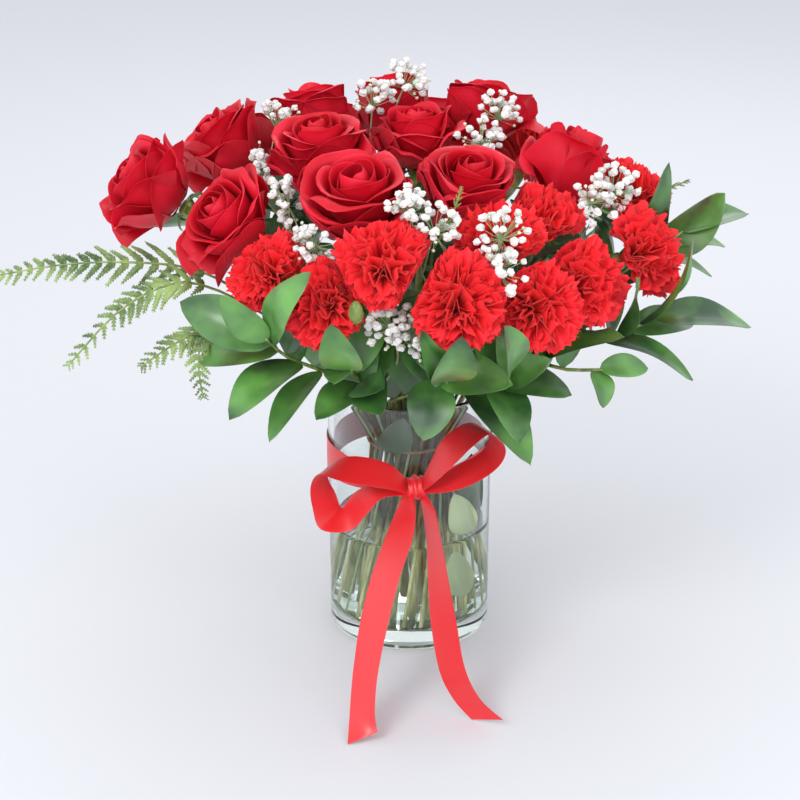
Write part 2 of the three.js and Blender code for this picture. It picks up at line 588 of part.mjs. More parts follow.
// Fern frond: leaflets on both sides of a flat rib, each from the rib's side to a point
function fernGeometry(plant) {
  const halfRib = 0.9;
  const bare = plant.points.slice(0, 3);
  const stations = [...bare];
  const first = plant.leafFrom;
  const bareSteps = Math.max(1, Math.round(first * 4));
  for (let i = 1; i < bareSteps; i += 1) stations.push(onRoute(plant, (first * i) / bareSteps));
  const curve = new THREE.CatmullRomCurve3(plant.points.slice(2));
  for (let i = 0; i <= plant.pairs; i += 1) {
    stations.push(curve.getPointAt(THREE.MathUtils.lerp(first, 1, i / plant.pairs)));
  }
  const leafStart = stations.length - 1 - plant.pairs;
  const frames = stations.map((point, i) => {
    const back = stations[Math.max(i - 1, 0)];
    const ahead = stations[Math.min(i + 1, stations.length - 1)];
    const along = ahead.clone().sub(back).normalize();
    const level = i < 3
      ? new THREE.Vector3(-point.y, point.x, 0).normalize()
      : new THREE.Vector3(0, FROND_LEAN * Math.sign(point.y), 1);
    const side = i < 3
      ? level.addScaledVector(along, -level.dot(along)).normalize()
      : level.cross(along).normalize();
    return { point, along, side, up: along.clone().cross(side) };
  });
  const rings = frames.map(({ point, side, up }, i) => {
    const taper = 1 - 0.55 * Math.max(0, (i - leafStart) / plant.pairs);
    const wide = taper * (i < leafStart ? FERN_STEM : halfRib);
    const deep = taper * (i < leafStart ? FERN_STEM : 0.7);
    return [[-1, -1], [1, -1], [1, 1], [-1, 1]].map(([x, y]) => (
      point.clone().addScaledVector(side, x * wide * 0.8).addScaledVector(up, y * deep * 0.8)
    ));
  });
  const corners = [...cap(rings[0], true), ...cap(rings.at(-1), false)];
  for (let i = 0; i + 1 < rings.length; i += 1) {
    const [low, high] = [rings[i], rings[i + 1]];
    const leaflet = i - leafStart;
    if (leaflet < 0) {
      corners.push(...wall(low, high));
      continue;
    }
    const grown = Math.sin(Math.PI * (0.22 + 0.76 * (leaflet / plant.pairs) ** 0.8));
    const middle = frames[i].point.clone().lerp(frames[i + 1].point, 0.5);
    [1, -1].forEach((way) => {
      const tip = besideBlooms(middle.clone()
        .addScaledVector(frames[i].side, way * plant.reach * grown)
        .addScaledVector(frames[i].along, 0.35 * plant.reach * grown)
        .addScaledVector(frames[i].up, -0.12 * plant.reach * grown));
      const [a, b] = way === 1 ? [1, 2] : [3, 0];
      [[low[a], high[a]], [high[a], high[b]], [high[b], low[b]], [low[b], low[a]]]
        .forEach(([p, q]) => corners.push(p, tip, q));
    });
    [[0, 1], [2, 3]].forEach(([a, b]) => {
      corners.push(low[a], low[b], high[b], low[a], high[b], high[a]);
    });
  }
  return closedGeometry(corners);
}

// Baby's breath: a thin stem forks to its clusters. A cluster is a small joint, and some of its
// faces each grow into a three-sided stalk with a white floret on its end.
function clusterGeometry(centre, away, count) {
  const turn = new THREE.Quaternion().setFromUnitVectors(new THREE.Vector3(0, 0, 1), away);
  const corners = new THREE.IcosahedronGeometry(JOINT_RADIUS).attributes.position;
  const faces = Array.from({ length: corners.count / 3 }, (_, face) => {
    const ring = [0, 1, 2].map((k) => new THREE.Vector3().fromBufferAttribute(corners, 3 * face + k));
    const height = ring.reduce((sum, corner) => sum + corner.z, 0);
    return { ring, height };
  }).sort((one, other) => other.height - one.height);
  const place = (corner) => corner.clone().applyQuaternion(turn).add(centre);
  return closedGeometry(faces.flatMap(({ ring }, face) => {
    if (face % 2 === 1 || face >= 2 * count) return ring.map(place);
    const middle = ring[0].clone().add(ring[1]).add(ring[2]).normalize();
    const reach = FLORET_STALK * (1 + 0.25 * (face % 3));
    const level = (radius, distance) => ring.map((corner) => (
      corner.clone().addScaledVector(middle, -corner.dot(middle)).setLength(radius)
        .addScaledVector(middle, distance)
    ));
    const neck = level(0.55, reach - FLORET_RADIUS);
    const edge = level(FLORET_RADIUS, reach);
    const crown = middle.clone().multiplyScalar(reach + 0.5 * FLORET_RADIUS);
    const top = edge.flatMap((corner, k) => [corner, edge[(k + 1) % 3], crown]);
    return [...wall(ring, neck), ...wall(neck, edge), ...top].map(place);
  }));
}

function sprayGeometry(plant) {
  const fork = plant.outside.at(-1);
  const pieces = [skinned(rodRings(plant.points, plant.points.map(() => SPRAY_STEM), SPRIG_SIDES))];
  plant.clusters.map(vector).forEach((cluster) => {
    const away = cluster.clone().sub(fork).normalize();
    const root = fork.clone().addScaledVector(away, -0.5);
    pieces.push(skinned(rodRings([root, cluster], [0.8, 0.6], 3)));
    pieces.push(clusterGeometry(cluster, away, plant.florets));
  });
  return toGeometry(fused(pieces));
}

// Glass vase: thick base, straight wall, and a fire-polished rim
function vaseGeometry() {
  const inner = VASE_RADIUS - GLASS_WALL;
  const rim = 1;
  const profile = [
    [0, 0], [VASE_RADIUS - GLASS_CORNER, 0], [VASE_RADIUS, GLASS_CORNER], [VASE_RADIUS, VASE_HEIGHT - rim],
    [VASE_RADIUS - rim, VASE_HEIGHT], [inner + rim, VASE_HEIGHT], [inner, VASE_HEIGHT - rim],
    [inner, GLASS_BASE], [0, GLASS_BASE],
  ];
  return lathed(profile);
}

function lathed(profile) {
  const points = profile.map(([radius, height]) => new THREE.Vector2(radius, height));
  return new THREE.LatheGeometry(points, ROUND_SIDES).rotateX(Math.PI / 2);
}

// Water: fills the vase to its level, with a plain hole where each stem stands
function waterGeometry(rods) {
  const radius = VASE_RADIUS - GLASS_WALL - FIT_GAP;
  const floor = GLASS_BASE + 0.2;
  const body = lathed([[0, floor], [radius, floor], [radius, WATER_LEVEL], [0, WATER_LEVEL]]);
  const past = 3;
  return toGeometry(rods.reduce((water, { foot, tie, thick }) => {
    const along = tie.clone().sub(foot).normalize();
    const top = foot.clone().addScaledVector(along, (WATER_LEVEL + past - foot.z) / along.z);
    const bottom = foot.clone().addScaledVector(along, -past);
    const wide = thick / Math.cos(Math.PI / HOLE_SIDES) + FIT_GAP;
    return water.subtract(toSolid(skinned(rodRings([bottom, top], [wide, wide], HOLE_SIDES))));
  }, toSolid(body)));
}

// Tie: a cord round the bunch
function tieGeometry() {
  const radius = FOLIAGE_RING * BUNCH_AT_TIE + RUSCUS_STEM + FIT_GAP + TIE_CORD;
  return new THREE.TorusGeometry(radius, TIE_CORD, 4, 20).translate(0, 0, TIE_HEIGHT);
}

// Ribbon: a band round the vase, a knot, two loops and two tails that reach the table
function stripGeometry(stations) {
  const rows = stations.map(([back, front]) => ({ back: vector(back), front: vector(front) }));
  const middles = rows.map(({ back, front }) => back.clone().lerp(front, 0.5));
  return skinned(rows.map(({ back, front }, i) => {
    const before = middles[Math.max(i - 1, 0)];
    const after = middles[Math.min(i + 1, rows.length - 1)];
    const along = after.clone().sub(before).normalize();
    const across = front.clone().sub(back).normalize();
    const normal = along.clone().cross(across).normalize().multiplyScalar(RIBBON_THICKNESS / 2);
    return [
      back.clone().sub(normal), front.clone().sub(normal),
      front.clone().add(normal), back.clone().add(normal),
    ];
  }));
}

function ribbonGeometry() {
  const inner = VASE_RADIUS + FIT_GAP;
  const outer = inner + RIBBON_THICKNESS;
  const low = BAND_HEIGHT - RIBBON_WIDTH / 2;
  const high = BAND_HEIGHT + RIBBON_WIDTH / 2;
  const band = lathed([[inner, low], [outer, low], [outer, high], [inner, high], [inner, low]]);
  const knot = new THREE.SphereGeometry(0.5, 7, 4)
    .scale(...KNOT.size).translate(...KNOT.at);
  const strips = [LEFT_LOOP, RIGHT_LOOP, LEFT_TAIL, RIGHT_TAIL].map(stripGeometry);
  return toGeometry(fused([band, knot, ...strips]));
}

// Materials
const finish = (color, roughness, extra = {}) => (
  new THREE.MeshStandardMaterial({ color, roughness, ...extra })
);
const MATERIALS = {
  rose: finish('#b0121f', 0.6),
  carnation: finish('#e8221f', 0.75),
  ruscus: finish('#2f6b33', 0.35),
  fern: finish('#7fa34a', 0.6),
  spray: finish('#f4f3ee', 0.8),
  stem: finish('#5d7a3a', 0.55),
  glass: finish('#dfe9e8', 0.05, { transparent: true, opacity: 0.35 }),
  water: finish('#e3eeea', 0.02, { transparent: true, opacity: 0.3 }),
  cord: finish('#8a6a48', 0.9),
  satin: finish('#e01f2c', 0.35),
};

// The whole bouquet
const bouquet = new THREE.Group();

function put(name, geometry, material) {
  const mesh = new THREE.Mesh(geometry, material);
  mesh.name = name;
  bouquet.add(mesh);
}

const flowerStems = BLOOMS.map(flowerStem);
const foliageStems = FOLIAGE.map(({ kind, inVase }) => ({
  foot: inVase[0],
  tie: inVase[1],
  thick: { ruscus: RUSCUS_STEM, fern: FERN_STEM, spray: SPRAY_STEM }[kind],
}));

put('vase', vaseGeometry(), MATERIALS.glass);
put('water', waterGeometry([...flowerStems, ...foliageStems]), MATERIALS.water);
put('tie', tieGeometry(), MATERIALS.cord);
put('ribbon', ribbonGeometry(), MATERIALS.satin);
put('flower_stems', flowerStemsGeometry(flowerStems), MATERIALS.stem);
BLOOMS.forEach((bloom) => {
  const geometry = bloom.kind === 'rose' ? roseGeometry(bloom) : carnationGeometry(bloom);
  put(bloom.name, geometry, MATERIALS[bloom.kind]);
});
FOLIAGE.forEach((plant) => {
  const make = { ruscus: ruscusGeometry, fern: fernGeometry, spray: sprayGeometry }[plant.kind];
  put(plant.name, make(plant), MATERIALS[plant.kind]);
});

export default bouquet;
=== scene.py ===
# Red roses and red carnations with ruscus, fern and baby's breath, tied in a bunch and standing
# in water in a clear glass cylinder vase, with a satin ribbon tied round the vase in a bow.
# Shapes are worked out in millimetres, +Z up, -Y towards the viewer, and set down in metres.
import math
import random

import bmesh
import bpy
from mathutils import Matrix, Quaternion, Vector


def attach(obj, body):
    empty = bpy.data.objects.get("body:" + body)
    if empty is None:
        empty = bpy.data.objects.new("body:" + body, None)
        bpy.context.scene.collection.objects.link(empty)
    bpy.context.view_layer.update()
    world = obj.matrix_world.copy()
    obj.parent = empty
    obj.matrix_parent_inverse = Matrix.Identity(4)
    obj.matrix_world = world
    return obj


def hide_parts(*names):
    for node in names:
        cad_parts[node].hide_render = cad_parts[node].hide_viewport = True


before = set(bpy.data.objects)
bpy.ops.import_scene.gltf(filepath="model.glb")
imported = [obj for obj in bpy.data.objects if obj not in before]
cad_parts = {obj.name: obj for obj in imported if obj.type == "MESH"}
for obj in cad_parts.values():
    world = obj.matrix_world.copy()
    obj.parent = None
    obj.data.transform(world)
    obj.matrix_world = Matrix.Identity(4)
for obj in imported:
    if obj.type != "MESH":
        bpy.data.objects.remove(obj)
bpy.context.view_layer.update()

# Glass vase: a straight cylinder of clear soda-lime glass with a thick flat foot and a
# fire-polished rim, blown into a mould, so that its walls are smooth and bright.
VASE_RADIUS = 62.5
VASE_HEIGHT = 200
GLASS_WALL = 4
GLASS_BASE = 14
GLASS_SPIN = 96
RIM_STEPS = 10
SAME_CORNER = 0.001
MILLIMETRE = 0.001
UPWARD = Vector((0, 0, 1))


def linear(code):
    """Linear colour of an sRGB hex value"""
    parts = [int(code[i:i + 2], 16) / 255 for i in (1, 3, 5)]
    return tuple(c / 12.92 if c <= 0.04045 else ((c + 0.055) / 1.055) ** 2.4 for c in parts) + (1,)


def fill(tree, node, inputs):
    """Fills a node's sockets, or links them to a socket or to a node's first output in use"""
    for socket, value in inputs.items():
        if isinstance(value, str):
            value = linear(value)
        if isinstance(value, bpy.types.Node):
            value = next(output for output in value.outputs if output.enabled)
        if isinstance(value, bpy.types.NodeSocket):
            tree.links.new(value, node.inputs[socket])
        else:
            node.inputs[socket].default_value = value


def add(tree, kind, inputs=None, **settings):
    """Adds a node, sets its properties, and fills or links its sockets"""
    node = tree.nodes.new("ShaderNode" + kind)
    for name, value in settings.items():
        setattr(node, name, value)
    fill(tree, node, inputs or {})
    return node


def new_material(name, **sockets):
    """A material with its shader's own sockets set"""
    material = bpy.data.materials.new(name)
    material.use_nodes = True
    tree = material.node_tree
    shader = tree.nodes["Principled BSDF"]
    fill(tree, shader, {socket.replace("_", " "): value for socket, value in sockets.items()})
    return material, tree, shader


def surfaced(tree, shader, colour, height, strength, distance):
    """Gives a shader its colour, and its surface a relief of this distance in metres"""
    relief = add(tree, "Bump", {"Height": height, "Strength": strength, "Distance": distance})
    fill(tree, shader, {"Base Color": colour, "Normal": relief})


def clear_finish(name, tint, ior, ripples, let_through):
    """Clear and faintly rippled. Lamps shine through it, as they do through the real one"""
    clear, tree, shader = new_material(name, Roughness=0.0, IOR=ior, Transmission_Weight=1.0)
    place = add(tree, "TexCoord").outputs["Object"]
    ripple = add(tree, "TexNoise", {"Vector": place, "Scale": ripples, "Detail": 1})
    surfaced(tree, shader, tint, ripple, 0.03, 0.001)
    shadow = add(tree, "LightPath").outputs["Is Shadow Ray"]
    shine = add(tree, "Math", {0: shadow, 1: -let_through, 2: 1}, operation="MULTIPLY_ADD")
    fill(tree, shader, {"Alpha": shine})
    return clear


def in_scene(name, data):
    """Puts an object with this mesh, lamp or camera in the scene"""
    item = bpy.data.objects.new(name, data)
    bpy.context.scene.collection.objects.link(item)
    return item


def set_down(bm, name, materials, node, thickness=0, smooth=True):
    """Makes a piece of the mesh: in metres, with its materials, standing for its node"""
    bmesh.ops.scale(bm, vec=[MILLIMETRE] * 3, verts=bm.verts)
    mesh = bpy.data.meshes.new(name)
    bm.to_mesh(mesh)
    bm.free()
    for material in materials:
        mesh.materials.append(material)
    for face in mesh.polygons:
        face.use_smooth = smooth
    piece = in_scene(name, mesh)
    if thickness:
        wall = piece.modifiers.new("thickness", "SOLIDIFY")
        wall.thickness = thickness * MILLIMETRE
        wall.offset = 0
        flat_sides = piece.modifiers.new("flat_sides", "WEIGHTED_NORMAL")
        flat_sides.weight = 90
    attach(piece, "root")
    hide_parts(node)
    return piece


def round_axis(radius, angle, height=0):
    """Place at a radius and angle round the upright axis"""
    return Vector((radius * math.cos(angle), radius * math.sin(angle), height))


def turned(profile):
    """A closed body turned from radius and height pairs that start and end on the axis"""
    bm = bmesh.new()
    points = [bm.verts.new((radius, 0, height)) for radius, height in profile]
    edges = [bm.edges.new(pair) for pair in zip(points, points[1:])]
    bmesh.ops.spin(bm, geom=points + edges, cent=(0, 0, 0), axis=(0, 0, 1),
                   angle=2 * math.pi, steps=GLASS_SPIN, use_merge=True)
    bmesh.ops.remove_doubles(bm, verts=bm.verts, dist=SAME_CORNER)
    bmesh.ops.recalc_face_normals(bm, faces=bm.faces)
    return bm


inner = VASE_RADIUS - GLASS_WALL
rounded = GLASS_WALL / 2
rim = [(VASE_RADIUS - rounded + rounded * math.cos(math.pi * k / RIM_STEPS),
        VASE_HEIGHT - rounded + rounded * math.sin(math.pi * k / RIM_STEPS))
       for k in range(RIM_STEPS + 1)]
vase_profile = [
    (0, 1.0), (VASE_RADIUS - 14, 1.0), (VASE_RADIUS - 9, 0.8), (VASE_RADIUS - 5, 0),
    (VASE_RADIUS - 2.4, 0.2), (VASE_RADIUS - 0.8, 1.2), (VASE_RADIUS, 3.6), (VASE_RADIUS, 7),
    (VASE_RADIUS, VASE_HEIGHT - 5), *rim, (inner, VASE_HEIGHT - 5),
    (inner, GLASS_BASE + 9), (inner - 0.2, GLASS_BASE + 5), (inner - 1.6, GLASS_BASE + 1.6),
    (inner - 5, GLASS_BASE + 0.2), (inner - 9, GLASS_BASE), (0, GLASS_BASE),
]
# Soda-lime glass: clear, a trace of green where it is thick, with the faint waves of its mould
glass = clear_finish("soda_lime_glass", "#F7FBFA", 1.46, 16, 0.85)
set_down(turned(vase_profile), "vase_glass", [glass], "vase")

# Water: fills the vase to a little under half, climbs the glass a little at its edge, and wets
# the wall, so no air shows between the two.
WATER_LEVEL = 86
wet = inner + 0.15
water_profile = [
    (0, GLASS_BASE - 0.15), (inner - 9, GLASS_BASE - 0.15), (inner - 5, GLASS_BASE + 0.05),
    (inner - 1.4, GLASS_BASE + 1.5), (wet - 0.2, GLASS_BASE + 5), (wet, GLASS_BASE + 9),
    (wet, WATER_LEVEL - 2), (wet, WATER_LEVEL + 1.8), (inner - 0.6, WATER_LEVEL + 0.7),
    (inner - 2.5, WATER_LEVEL), (inner - 6, WATER_LEVEL), (0, WATER_LEVEL),
]
# Fresh water: clear, faintly tinted by the stems
water_finish = clear_finish("fresh_water", "#F2F8F2", 1.33, 30, 0.96)
set_down(turned(water_profile), "water_fill", [water_finish], "water")

# Ribbon: one length of 25 mm double-faced satin, bound round the vase, tied in a bow with two
# loops, and with its two tails cut on the slant and let down to the table. A loop or tail is
# given by its two edges, the one by the glass and the one by the viewer, place by place.
RIBBON_WIDTH = 25
SATIN_THICKNESS = 0.3
SATIN_CROWN = 0.35
BAND_HEIGHT = 144.5
BAND_RADIUS = VASE_RADIUS + 0.6
BAND_PLEAT = 1.2
KNOT = {"at": (4.5, -71.5, 143.5), "size": (15, 19, 17)}
LEFT_LOOP = [
    ((-1, -70, 147), (-2, -78, 141)), ((-13, -70, 160), (-16, -87, 149)),
    ((-31, -71, 167), (-33, -91, 154)), ((-47, -70, 167), (-52, -93, 159)),
    ((-60, -68, 159), (-66, -92, 163)), ((-60, -66, 147), (-72, -88, 151)),
    ((-55, -66, 136), (-71, -85, 133)), ((-51, -67, 125), (-65, -88, 117)),
    ((-46, -68, 131), (-44, -88, 116)), ((-38, -69, 140), (-31, -90, 131)),
    ((-26, -70, 145), (-20, -85, 141)), ((-1, -71, 145), (-1, -79, 140)),
]
RIGHT_LOOP = [
    ((8, -70, 147), (9, -80, 144)), ((15, -70, 163), (19, -88, 156)), ((22, -69, 178), (34, -89, 172)),
    ((33, -66, 188), (45, -87, 183)), ((44, -62, 191), (57, -84, 191)), ((53, -60, 187), (66, -81, 184)),
    ((58, -59, 178), (69, -82, 176)), ((54, -62, 170), (65, -84, 167)), ((47, -65, 165), (55, -87, 159)),
    ((38, -67, 161), (40, -88, 151)), ((26, -69, 154), (25, -86, 146)), ((9, -70, 145), (9, -79, 142)),
]
LEFT_TAIL = [
    ((-3, -70, 144), (3, -79, 140)), ((-9, -80, 131), (4, -94, 135)), ((-17, -94, 116), (2, -109, 121)),
    ((-28, -114, 92), (-8, -128, 97)), ((-36, -132, 64), (-16, -146, 70)),
    ((-41, -151, 34), (-23, -166, 42)), ((-43, -168, 12), (-25, -182, 21)),
    ((-44, -192, 1), (-23, -188, 8)),
]
RIGHT_TAIL = [
    ((6, -70, 144), (12, -78, 140)), ((9, -81, 130), (18, -95, 136)), ((12, -93, 112), (22, -112, 122)),
    ((13, -107, 90), (27, -126, 98)), ((15, -122, 60), (33, -138, 68)), ((21, -140, 30), (39, -155, 40)),
    ((31, -150, 12), (50, -164, 20)), ((44, -160, 1), (66, -170, 7)),
]
LOOP_ROWS = 66
TAIL_ROWS = 42
# How far on and back a curve is read for its way, and how near the two sides of a seam are
NEAR = 0.02
SEAM = 0.01


def on_curve(points, t):
    """Point on a smooth curve through the points, t from 0 to 1"""
    span = min(int(t * (len(points) - 1)), len(points) - 2)
    part = t * (len(points) - 1) - span
    before, start = points[max(span - 1, 0)], points[span]
    end, after = points[span + 1], points[min(span + 2, len(points) - 1)]
    return 0.5 * (2 * start + (end - before) * part
                  + (2 * before - 5 * start + 4 * end - after) * part ** 2
                  + (3 * start - before - 3 * end + after) * part ** 3)


def grown_grid(bm, columns, rows, place):
    """Adds a grid and moves its corners to place(across, along), -1 to 1 and 0 to 1"""
    corners = bmesh.ops.create_grid(bm, x_segments=columns, y_segments=rows, size=1)["verts"]
    layer = bm.loops.layers.uv.verify()
    for corner in corners:
        across, along = corner.co.x, (corner.co.y + 1) / 2
        for loop in corner.link_loops:
            loop[layer].uv = ((across + 1) / 2, along)
        corner.co = place(across, along)
    return corners


def ribbon_strip(bm, stations, rows):
    """A loop or tail: lies between its two edges, and bulges a little along its middle"""
    backs = [Vector(back) for back, _ in stations]
    fronts = [Vector(front) for _, front in stations]

    def lay(across, along):
        back, front = on_curve(backs, along), on_curve(fronts, along)
        ahead = on_curve(backs, min(along + NEAR, 1)) - on_curve(backs, max(along - NEAR, 0))
        lift = (front - back).cross(ahead).normalized()
        crown = SATIN_CROWN * (1 - across ** 2) * math.sin(math.pi * along)
        return back.lerp(front, (across + 1) / 2) + lift * crown

    grown_grid(bm, 6, rows, lay)


def band_lay(across, along):
    """Round the glass, and gathered in pleats where it comes to the knot"""
    turn = 2 * math.pi * along
    gathered = 1 - min(1, abs(math.cos(turn)) / 0.8) ** 1.2 if along < 0.5 else 0
    pleat = BAND_PLEAT * gathered * math.cos(9 * across)
    radius = BAND_RADIUS + 0.4 + abs(pleat)
    width = RIBBON_WIDTH / 2 * (1 - 0.62 * gathered)
    return round_axis(radius, -turn, BAND_HEIGHT + across * width - 1.5 * gathered)


def knot_lay(across, along):
    """Wrapped over the crossing, in soft folds"""
    turn = 2 * math.pi * along
    folds = 1 + 0.1 * math.cos(8 * across + 2 * math.sin(turn)) - 0.3 * across ** 2
    x, y, z = (size / 2 for size in KNOT["size"])
    wide = x * across * (1 + 0.2 * math.cos(turn + 0.6))
    return Vector(KNOT["at"]) + Vector((wide, y * folds * math.cos(turn), z * folds * math.sin(turn)))


bm = bmesh.new()
grown_grid(bm, 12, 96, band_lay)
bmesh.ops.remove_doubles(bm, verts=bm.verts, dist=SEAM)
ribbon_strip(bm, LEFT_LOOP, LOOP_ROWS)
ribbon_strip(bm, RIGHT_LOOP, LOOP_ROWS)
ribbon_strip(bm, LEFT_TAIL, TAIL_ROWS)
ribbon_strip(bm, RIGHT_TAIL, TAIL_ROWS)
knot = grown_grid(bm, 16, 28, knot_lay)
bmesh.ops.remove_doubles(bm, verts=knot, dist=SEAM)
ribbon_area = sum(face.calc_area() for face in bm.faces)


def layered(tree, ground, *layers):
    """Lays colours over a ground, each by how far its value has gone from low to high"""
    for value, low, high, most, colour in layers:
        share = add(tree, "MapRange", {"Value": value, "From Min": low, "From Max": high, "To Max": most})
        ground = add(tree, "Mix", {0: share, 6: ground, 7: colour}, data_type="RGBA")
    return ground


def off_middle(tree, uv):
    """How far a place is from the middle of a ribbon's or leaf's width, 0 to 0.5"""
    across = add(tree, "SeparateXYZ", {0: uv}).outputs[0]
    from_middle = add(tree, "Math", {0: across, 1: 0.5}, operation="SUBTRACT")
    return add(tree, "Math", {0: from_middle}, operation="ABSOLUTE")


# Polyester satin: smooth and bright along its floats, with a fine weave and a firm selvedge
satin, tree, shader = new_material(
    "red_polyester_satin", Roughness=0.38, Sheen_Weight=0.5, Sheen_Roughness=0.35,
    Sheen_Tint="#FFCCD0", Anisotropic=0.5, Specular_IOR_Level=0.9)
uv = add(tree, "UVMap", uv_map="UVMap")
place = add(tree, "TexCoord").outputs["Object"]
selvedge = add(tree, "MapRange", {"Value": off_middle(tree, uv), "From Min": 0.455, "From Max": 0.475})
cloud = add(tree, "TexNoise", {"Vector": place, "Scale": 60, "Detail": 2})
red = layered(tree, "#E4131F", (cloud, 0, 1, 1, "#F62832"), (selvedge, 0, 1, 1, "#D60F1A"))
# Floats 0.35 mm wide: coarser than a real satin's, so that they show at all
weave = add(tree, "TexWave", {"Vector": uv, "Scale": 11.5, "Distortion": 0.6, "Detail": 1},
            bands_direction="X").outputs["Fac"]
ridge = add(tree, "Math", {0: weave, 1: selvedge}, operation="ADD")
surfaced(tree, shader, red, ridge, 0.18, 0.0002)
ribbon = set_down(bm, "satin_ribbon", [satin], "ribbon", thickness=SATIN_THICKNESS)

# Blooms' places: centre, the way that each faces, radius, and for a rose how far it is open and,
# where its bud is still long, how tall. They stand so close in the bunch that each presses its
# neighbours flat, and the ruffled ones push a little way in among each other's petals.
GOLDEN_ANGLE = 2.39996
# How far past the plane between two blooms each kind's petals reach, how far back a bloom's foot
# is, how near such a plane presses it, where its petals start to give, and how often it is pressed
LAPPED = {"rose": 1, "carnation": 4.5}
SUNK = 0.62
TOUCHING = 1.25
SOFT_FROM = 0.6
PRESSINGS = 4
ROSES = [
    ("rose_far_left", (-190, 8, 348), (-0.8, -0.2, 0.55), 43, 0.35),
    ("rose_upper_left", (-140, 52, 368), (-0.6, -0.1, 0.8), 41, 0.45),
    ("rose_lower_left", (-128, -58, 344), (-0.6, -0.45, 0.65), 40, 0.6),
    ("rose_left_back", (-73, 96, 384), (-0.15, 0.35, 0.92), 39, 0.6),
    ("rose_left_centre", (-66, 5, 380), (-0.15, -0.15, 0.97), 42, 0.7),
    ("rose_front_centre", (-37, -70, 366), (-0.05, -0.35, 0.93), 49, 1),
    ("rose_top_back", (-14, 110, 388), (-0.05, 0.35, 0.93), 41, 0.6),
    ("rose_centre", (4, 42, 378), (-0.1, -0.05, 0.99), 38, 0.5),
    ("rose_right_back", (56, 98, 386), (0.15, 0.35, 0.92), 41, 0.6),
    ("rose_right_centre", (42, -42, 367), (0.1, -0.3, 0.95), 42, 0.9),
    ("rose_right", (116, 18, 354), (0.3, 0.3, 0.9), 37, 0.35, 1.3),
    ("rose_back_left", (-132, 122, 352), (-0.5, 0.45, 0.74), 38, 0.6),
    ("rose_rear", (-58, 170, 344), (-0.25, 0.75, 0.6), 40, 0.8),
    ("rose_rear_right", (24, 176, 346), (0.1, 0.75, 0.65), 40, 0.6),
]
CARNATIONS = [
    ("carnation_left", (-99, -97, 319), (-0.35, -0.7, 0.6), 28),
    ("carnation_lower_left", (-59, -127, 306), (-0.35, -0.8, 0.45), 30),
    ("carnation_front", (-19, -131, 336), (-0.05, -0.6, 0.8), 34),
    ("carnation_front_right", (31, -145, 315), (0.05, -0.75, 0.65), 34),
    ("carnation_centre_right", (62, -87, 341), (0.1, -0.45, 0.88), 32),
    ("carnation_upper_right", (92, -44, 343), (0.25, -0.25, 0.93), 32),
    ("carnation_lower_right", (87, -118, 302), (0.3, -0.8, 0.5), 32),
    ("carnation_right", (122, -76, 306), (0.5, -0.6, 0.6), 33),
    ("carnation_far_right", (170, -30, 313), (0.75, -0.4, 0.5), 35),
    ("carnation_high_right", (166, 26, 344), (0.45, -0.1, 0.88), 29),
    ("carnation_rear_right", (96, 146, 338), (0.45, 0.65, 0.6), 34),
    ("carnation_rear_far_right", (146, 92, 332), (0.7, 0.4, 0.6), 33),
]


def of_kind(rows, kind):
    """The blooms or plants of a kind, each with its number among them all"""
    return [(order, row) for order, row in enumerate(rows) if row["kind"] == kind]


BLOOMS = []
for name, at, faces, radius, *more in ROSES + CARNATIONS:
    axis = Vector(faces).normalized()
    BLOOMS.append({
        "name": name, "kind": name.split("_")[0], "centre": Vector(at), "axis": axis, "radius": radius,
        "base": Vector(at) - axis * SUNK * radius, "opened": more[0] if more else 0,
        "tall": more[1] if len(more) > 1 else 1,
    })
for bloom in BLOOMS:
    bloom["limits"] = []
    for other in BLOOMS:
        if other is bloom:
            continue
        towards = other["centre"] - bloom["centre"]
        far = towards.length
        limit = (far ** 2 + bloom["radius"] ** 2 - other["radius"] ** 2) / (2 * far)
        limit += LAPPED[bloom["kind"]]
        if limit < TOUCHING * bloom["radius"]:
            bloom["limits"].append((towards.normalized(), limit))


def set_bloom(bm, bloom, order):
    """Turns a bloom made round +Z to its way, and presses it against its neighbours"""
    spin = Quaternion(UPWARD, order * GOLDEN_ANGLE)
    turn = UPWARD.rotation_difference(bloom["axis"]) @ spin
    for corner in bm.verts:
        corner.co.z *= bloom["tall"]
        offset = turn @ (corner.co * bloom["radius"]) + bloom["base"] - bloom["centre"]
        for _ in range(PRESSINGS):
            for towards, limit in bloom["limits"]:
                reach = offset.dot(towards)
                free = SOFT_FROM * limit
                if reach > free:
                    soft = limit - free
                    held = free + soft * (1 - math.exp((free - reach) / soft))
                    offset += towards * (held - reach)
        corner.co = offset + bloom["centre"]


# Roses: cut red roses, each with about two dozen broad velvety petals in a golden-angle spiral,
# wound tight in the middle. The outer ones lie open, and their edges roll back to a point.
ROSE_PETALS = 23
ROSE_SEED = 100
ROSE_PETAL_THICKNESS = 0.3
ANY_PHASE = 6.28
# Radius and height along an innermost, a middle and an outermost petal, in a bud and when open
BUD_PATHS = [
    [(0.04, 0.15), (0.18, 0.50), (0.22, 1.00), (0.05, 1.36)],
    [(0.06, 0.08), (0.52, 0.22), (0.56, 0.92), (0.38, 1.34)],
    [(0.08, 0.02), (0.74, 0.06), (0.84, 0.84), (0.68, 1.26)],
]
OPEN_PATHS = [
    [(0.04, 0.12), (0.24, 0.40), (0.26, 0.84), (0.08, 1.02)],
    [(0.06, 0.06), (0.58, 0.10), (0.56, 0.90), (0.76, 0.97)],
    [(0.08, 0.02), (0.74, -0.06), (1.00, 0.44), (1.30, 0.46)],
]


def mix(start, end, t):
    """From start to end, by t"""
    return start + (end - start) * t


def eased(low, high, value):
    """0 up to low and 1 from high on, with a smooth rise between"""
    t = min(max((value - low) / (high - low), 0), 1)
    return t * t * (3 - 2 * t)


